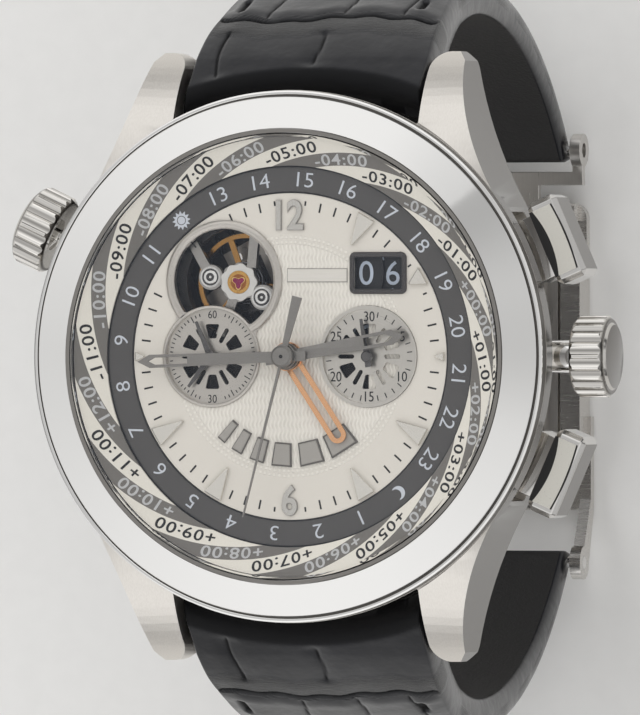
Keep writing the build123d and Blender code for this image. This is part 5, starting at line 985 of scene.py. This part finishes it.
# Figures of the 24 hour ring, a sun at 12 and a moon at 24
hours = [(letters(str(hour), 1.24, 1.1, PRINT_DEPTH, -0.006), on_ring(hour))
         for hour in range(1, 24) if hour != 12]
sun = disc(0.84, PRINT_DEPTH, 24)
for vert in sun.verts:
    tooth = round(math.degrees(math.atan2(vert.co.x, vert.co.y)) / 15)
    vert.co.xy = vert.co.xy * (0.66 if tooth % 2 else 1.0)
hours.append((sun, on_ring(12)))
moon = disc(0.6, PRINT_DEPTH, 64)
for vert in moon.verts:
    if vert.co.x > 0 and abs(vert.co.y) < 0.5:
        vert.co.x = min(vert.co.x, 0.28 - math.sqrt(0.25 - vert.co.y ** 2))
hours.append((moon, on_ring(24)))
finished("ring_figures", gathered(hours), "hour_24_ring", "white_print")
finished("sun_ring", placed(ring(0.34, 0.4, PRINT_DEPTH), on_ring(12, PRINT_DEPTH)), "hour_24_ring", "ring_grey")
borders = [(ring(inner, outer, PRINT_DEPTH, 144), at(0, 0, RING_TOP))
           for inner, outer in ((14.05, 14.13), (16.2, 16.29))]
finished("ring_borders", gathered(borders), "hour_24_ring", "black_print_and_shade")


def on_swirl(shape, clock, middle_radius=17.55):
    """Lays lettering on the city ring's slope, along the swirl of its bands."""
    inner, low, outer, high = CITY_RING
    lean = math.atan2(BAND_REACH, math.radians(SWIRL_TWIST) * middle_radius)
    for vert in shape.verts:
        along, up, lift = vert.co
        radius = middle_radius + along * math.sin(lean) + up * math.cos(lean)
        turn = math.radians(clock) + (along * math.cos(lean) - up * math.sin(lean)) / middle_radius
        height = low + (radius - inner) * (high - low) / (outer - inner) + lift
        vert.co = (radius * math.sin(turn), radius * math.cos(turn), height)
    return shape


dark_words, pale_words = [], []
for offset in range(-11, 13):
    text = f"{'-' if offset < 0 else '+'}{abs(offset):02d}:00"
    words = dark_words if offset % 2 else pale_words
    figure = letters(text, 0.98, 1.3, 0.02, 0.012, 1.12)
    words.append((on_swirl(figure, -29 + 15 * (offset + 7)), Matrix.Identity(4)))
finished("zone_figures_dark", gathered(dark_words), "city_ring", "black_print_and_shade")
finished("zone_figures_pale", gathered(pale_words), "city_ring", "pale_print")

# Date figures on their discs, the ones at the window upright
units = [(letters(str((6 + index) % 10), DATE_TALL, DATE_STRETCH),
          at(*UNITS_DISC) @ turned_by(36 * index) @ at(*UNITS_REACH)) for index in range(10)]
finished("units_figures", gathered(units), "date_units_disc", "date_print")
tens = [(letters(str(index), DATE_TALL, DATE_STRETCH),
         at(*TENS_DISC) @ turned_by(90 * index) @ at(*TENS_REACH)) for index in range(4)]
finished("tens_figures", gathered(tens), "date_tens_disc", "date_print")

# Camera, floor and light
dial_point = Vector((0, 0, 12.1)) * MM
lean = math.radians(17)
sight = Vector((math.sin(lean), 0, math.cos(lean)))
right = Vector((math.cos(lean), 0, -math.sin(lean)))
scale = PIXELS / MM
aim = (dial_point + right * ((PICTURE[0] / 2 - DIAL_IN_PICTURE[0]) / scale)
       + Vector((0, 1, 0)) * ((DIAL_IN_PICTURE[1] - PICTURE[1] / 2) / scale))
camera_reach, sensor = 1.2, 36
camera = added("camera", bpy.data.cameras.new("camera"))
camera.location = aim + sight * camera_reach
camera.rotation_mode = "QUATERNION"
camera.rotation_quaternion = Matrix((right, (0, 1, 0), sight)).transposed().to_quaternion()
camera.data.sensor_width = sensor
camera.data.lens = sensor * camera_reach / (PICTURE[1] / scale)
camera.data.clip_start = 0.05
camera.data.clip_end = 20
bpy.context.scene.camera = camera
bpy.context.scene.view_settings.view_transform = "Standard"

floor = bmesh.new()
bmesh.ops.create_grid(floor, x_segments=1, y_segments=1, size=1500)
bmesh.ops.translate(floor, vec=(0, 0, FLOOR_HEIGHT), verts=floor.verts)
bmesh.ops.scale(floor, vec=(MM, MM, MM), verts=floor.verts)
floor_mesh = bpy.data.meshes.new("floor")
floor.to_mesh(floor_mesh)
floor.free()
floor_look = Finish("floor")
paper = floor_look.noise(floor_look.place(), 0.5, 3.0)
floor_look.shade(Base_Color=floor_look.mix(paper, tone(222, 221, 219), tone(228, 227, 225)), Roughness=0.9)
floor_mesh.materials.append(floor_look.material)
floor_piece = added("floor", floor_mesh)


def softbox(name, azimuth, elevation, distance, width, height, power):
    """A square lamp that faces the watch."""
    lamp = bpy.data.lights.new(name, "AREA")
    lamp.shape = "RECTANGLE"
    lamp.size = width
    lamp.size_y = height
    lamp.energy = power
    lamp.specular_factor = 0.0
    holder = added(name, lamp)
    a, e = math.radians(azimuth), math.radians(elevation)
    away = Vector((math.cos(a) * math.cos(e), math.sin(a) * math.cos(e), math.sin(e)))
    holder.location = Vector((0, 0, 0.01)) + away * distance
    holder.visible_glossy = False
    holder.visible_transmission = False
    holder.rotation_mode = "QUATERNION"
    holder.rotation_quaternion = away.to_track_quat("Z", "Y")


softbox("left_lamp", 165, 42, 0.9, 0.9, 0.9, 1.5)
softbox("top_lamp", 80, 50, 0.9, 0.9, 0.7, 1.4)
softbox("right_lamp", -15, 55, 1.0, 0.5, 0.8, 0.7)

world = bpy.data.worlds.new("studio")
bpy.context.scene.world = world
studio = Finish("studio", world)
gaze = studio.node("ShaderNodeTexCoord", output=0)
gx, gy, gz = studio.parts(gaze)
# Dimmer where the flat hands look, dimmer again to the upper right, and dark along the horizon
toward = gx * -0.29 + gz * 0.957
overhead = studio.step(toward, 0.9, 0.99)
upper_right = studio.step(gx * 0.37 + gy * 0.28 + gz * 0.885, 0.86, 0.99)
horizon = studio.step(gz, 0.1, 0.36)
ends = studio.maths("ABSOLUTE", gy) ** 1.3
# A card beside the watch, whose crisp edge shows on the bezel
beside = gy - gx
card = (1.0 - studio.step(beside, 0.2, 0.23)) * studio.step(beside, -0.25, 0.15) * studio.step(gx + gy, 0.3, 0.55)
level = ((ends * 0.42 + (0.77 - overhead * 0.14 - upper_right * 0.16)) * (horizon * 0.84 + 0.16)
         * (1.0 - card * 0.34))
shine = studio.node("ShaderNodeBackground", inputs={0: (1, 1, 1, 1), 1: level})
studio.node("ShaderNodeOutputWorld", inputs={0: shine})
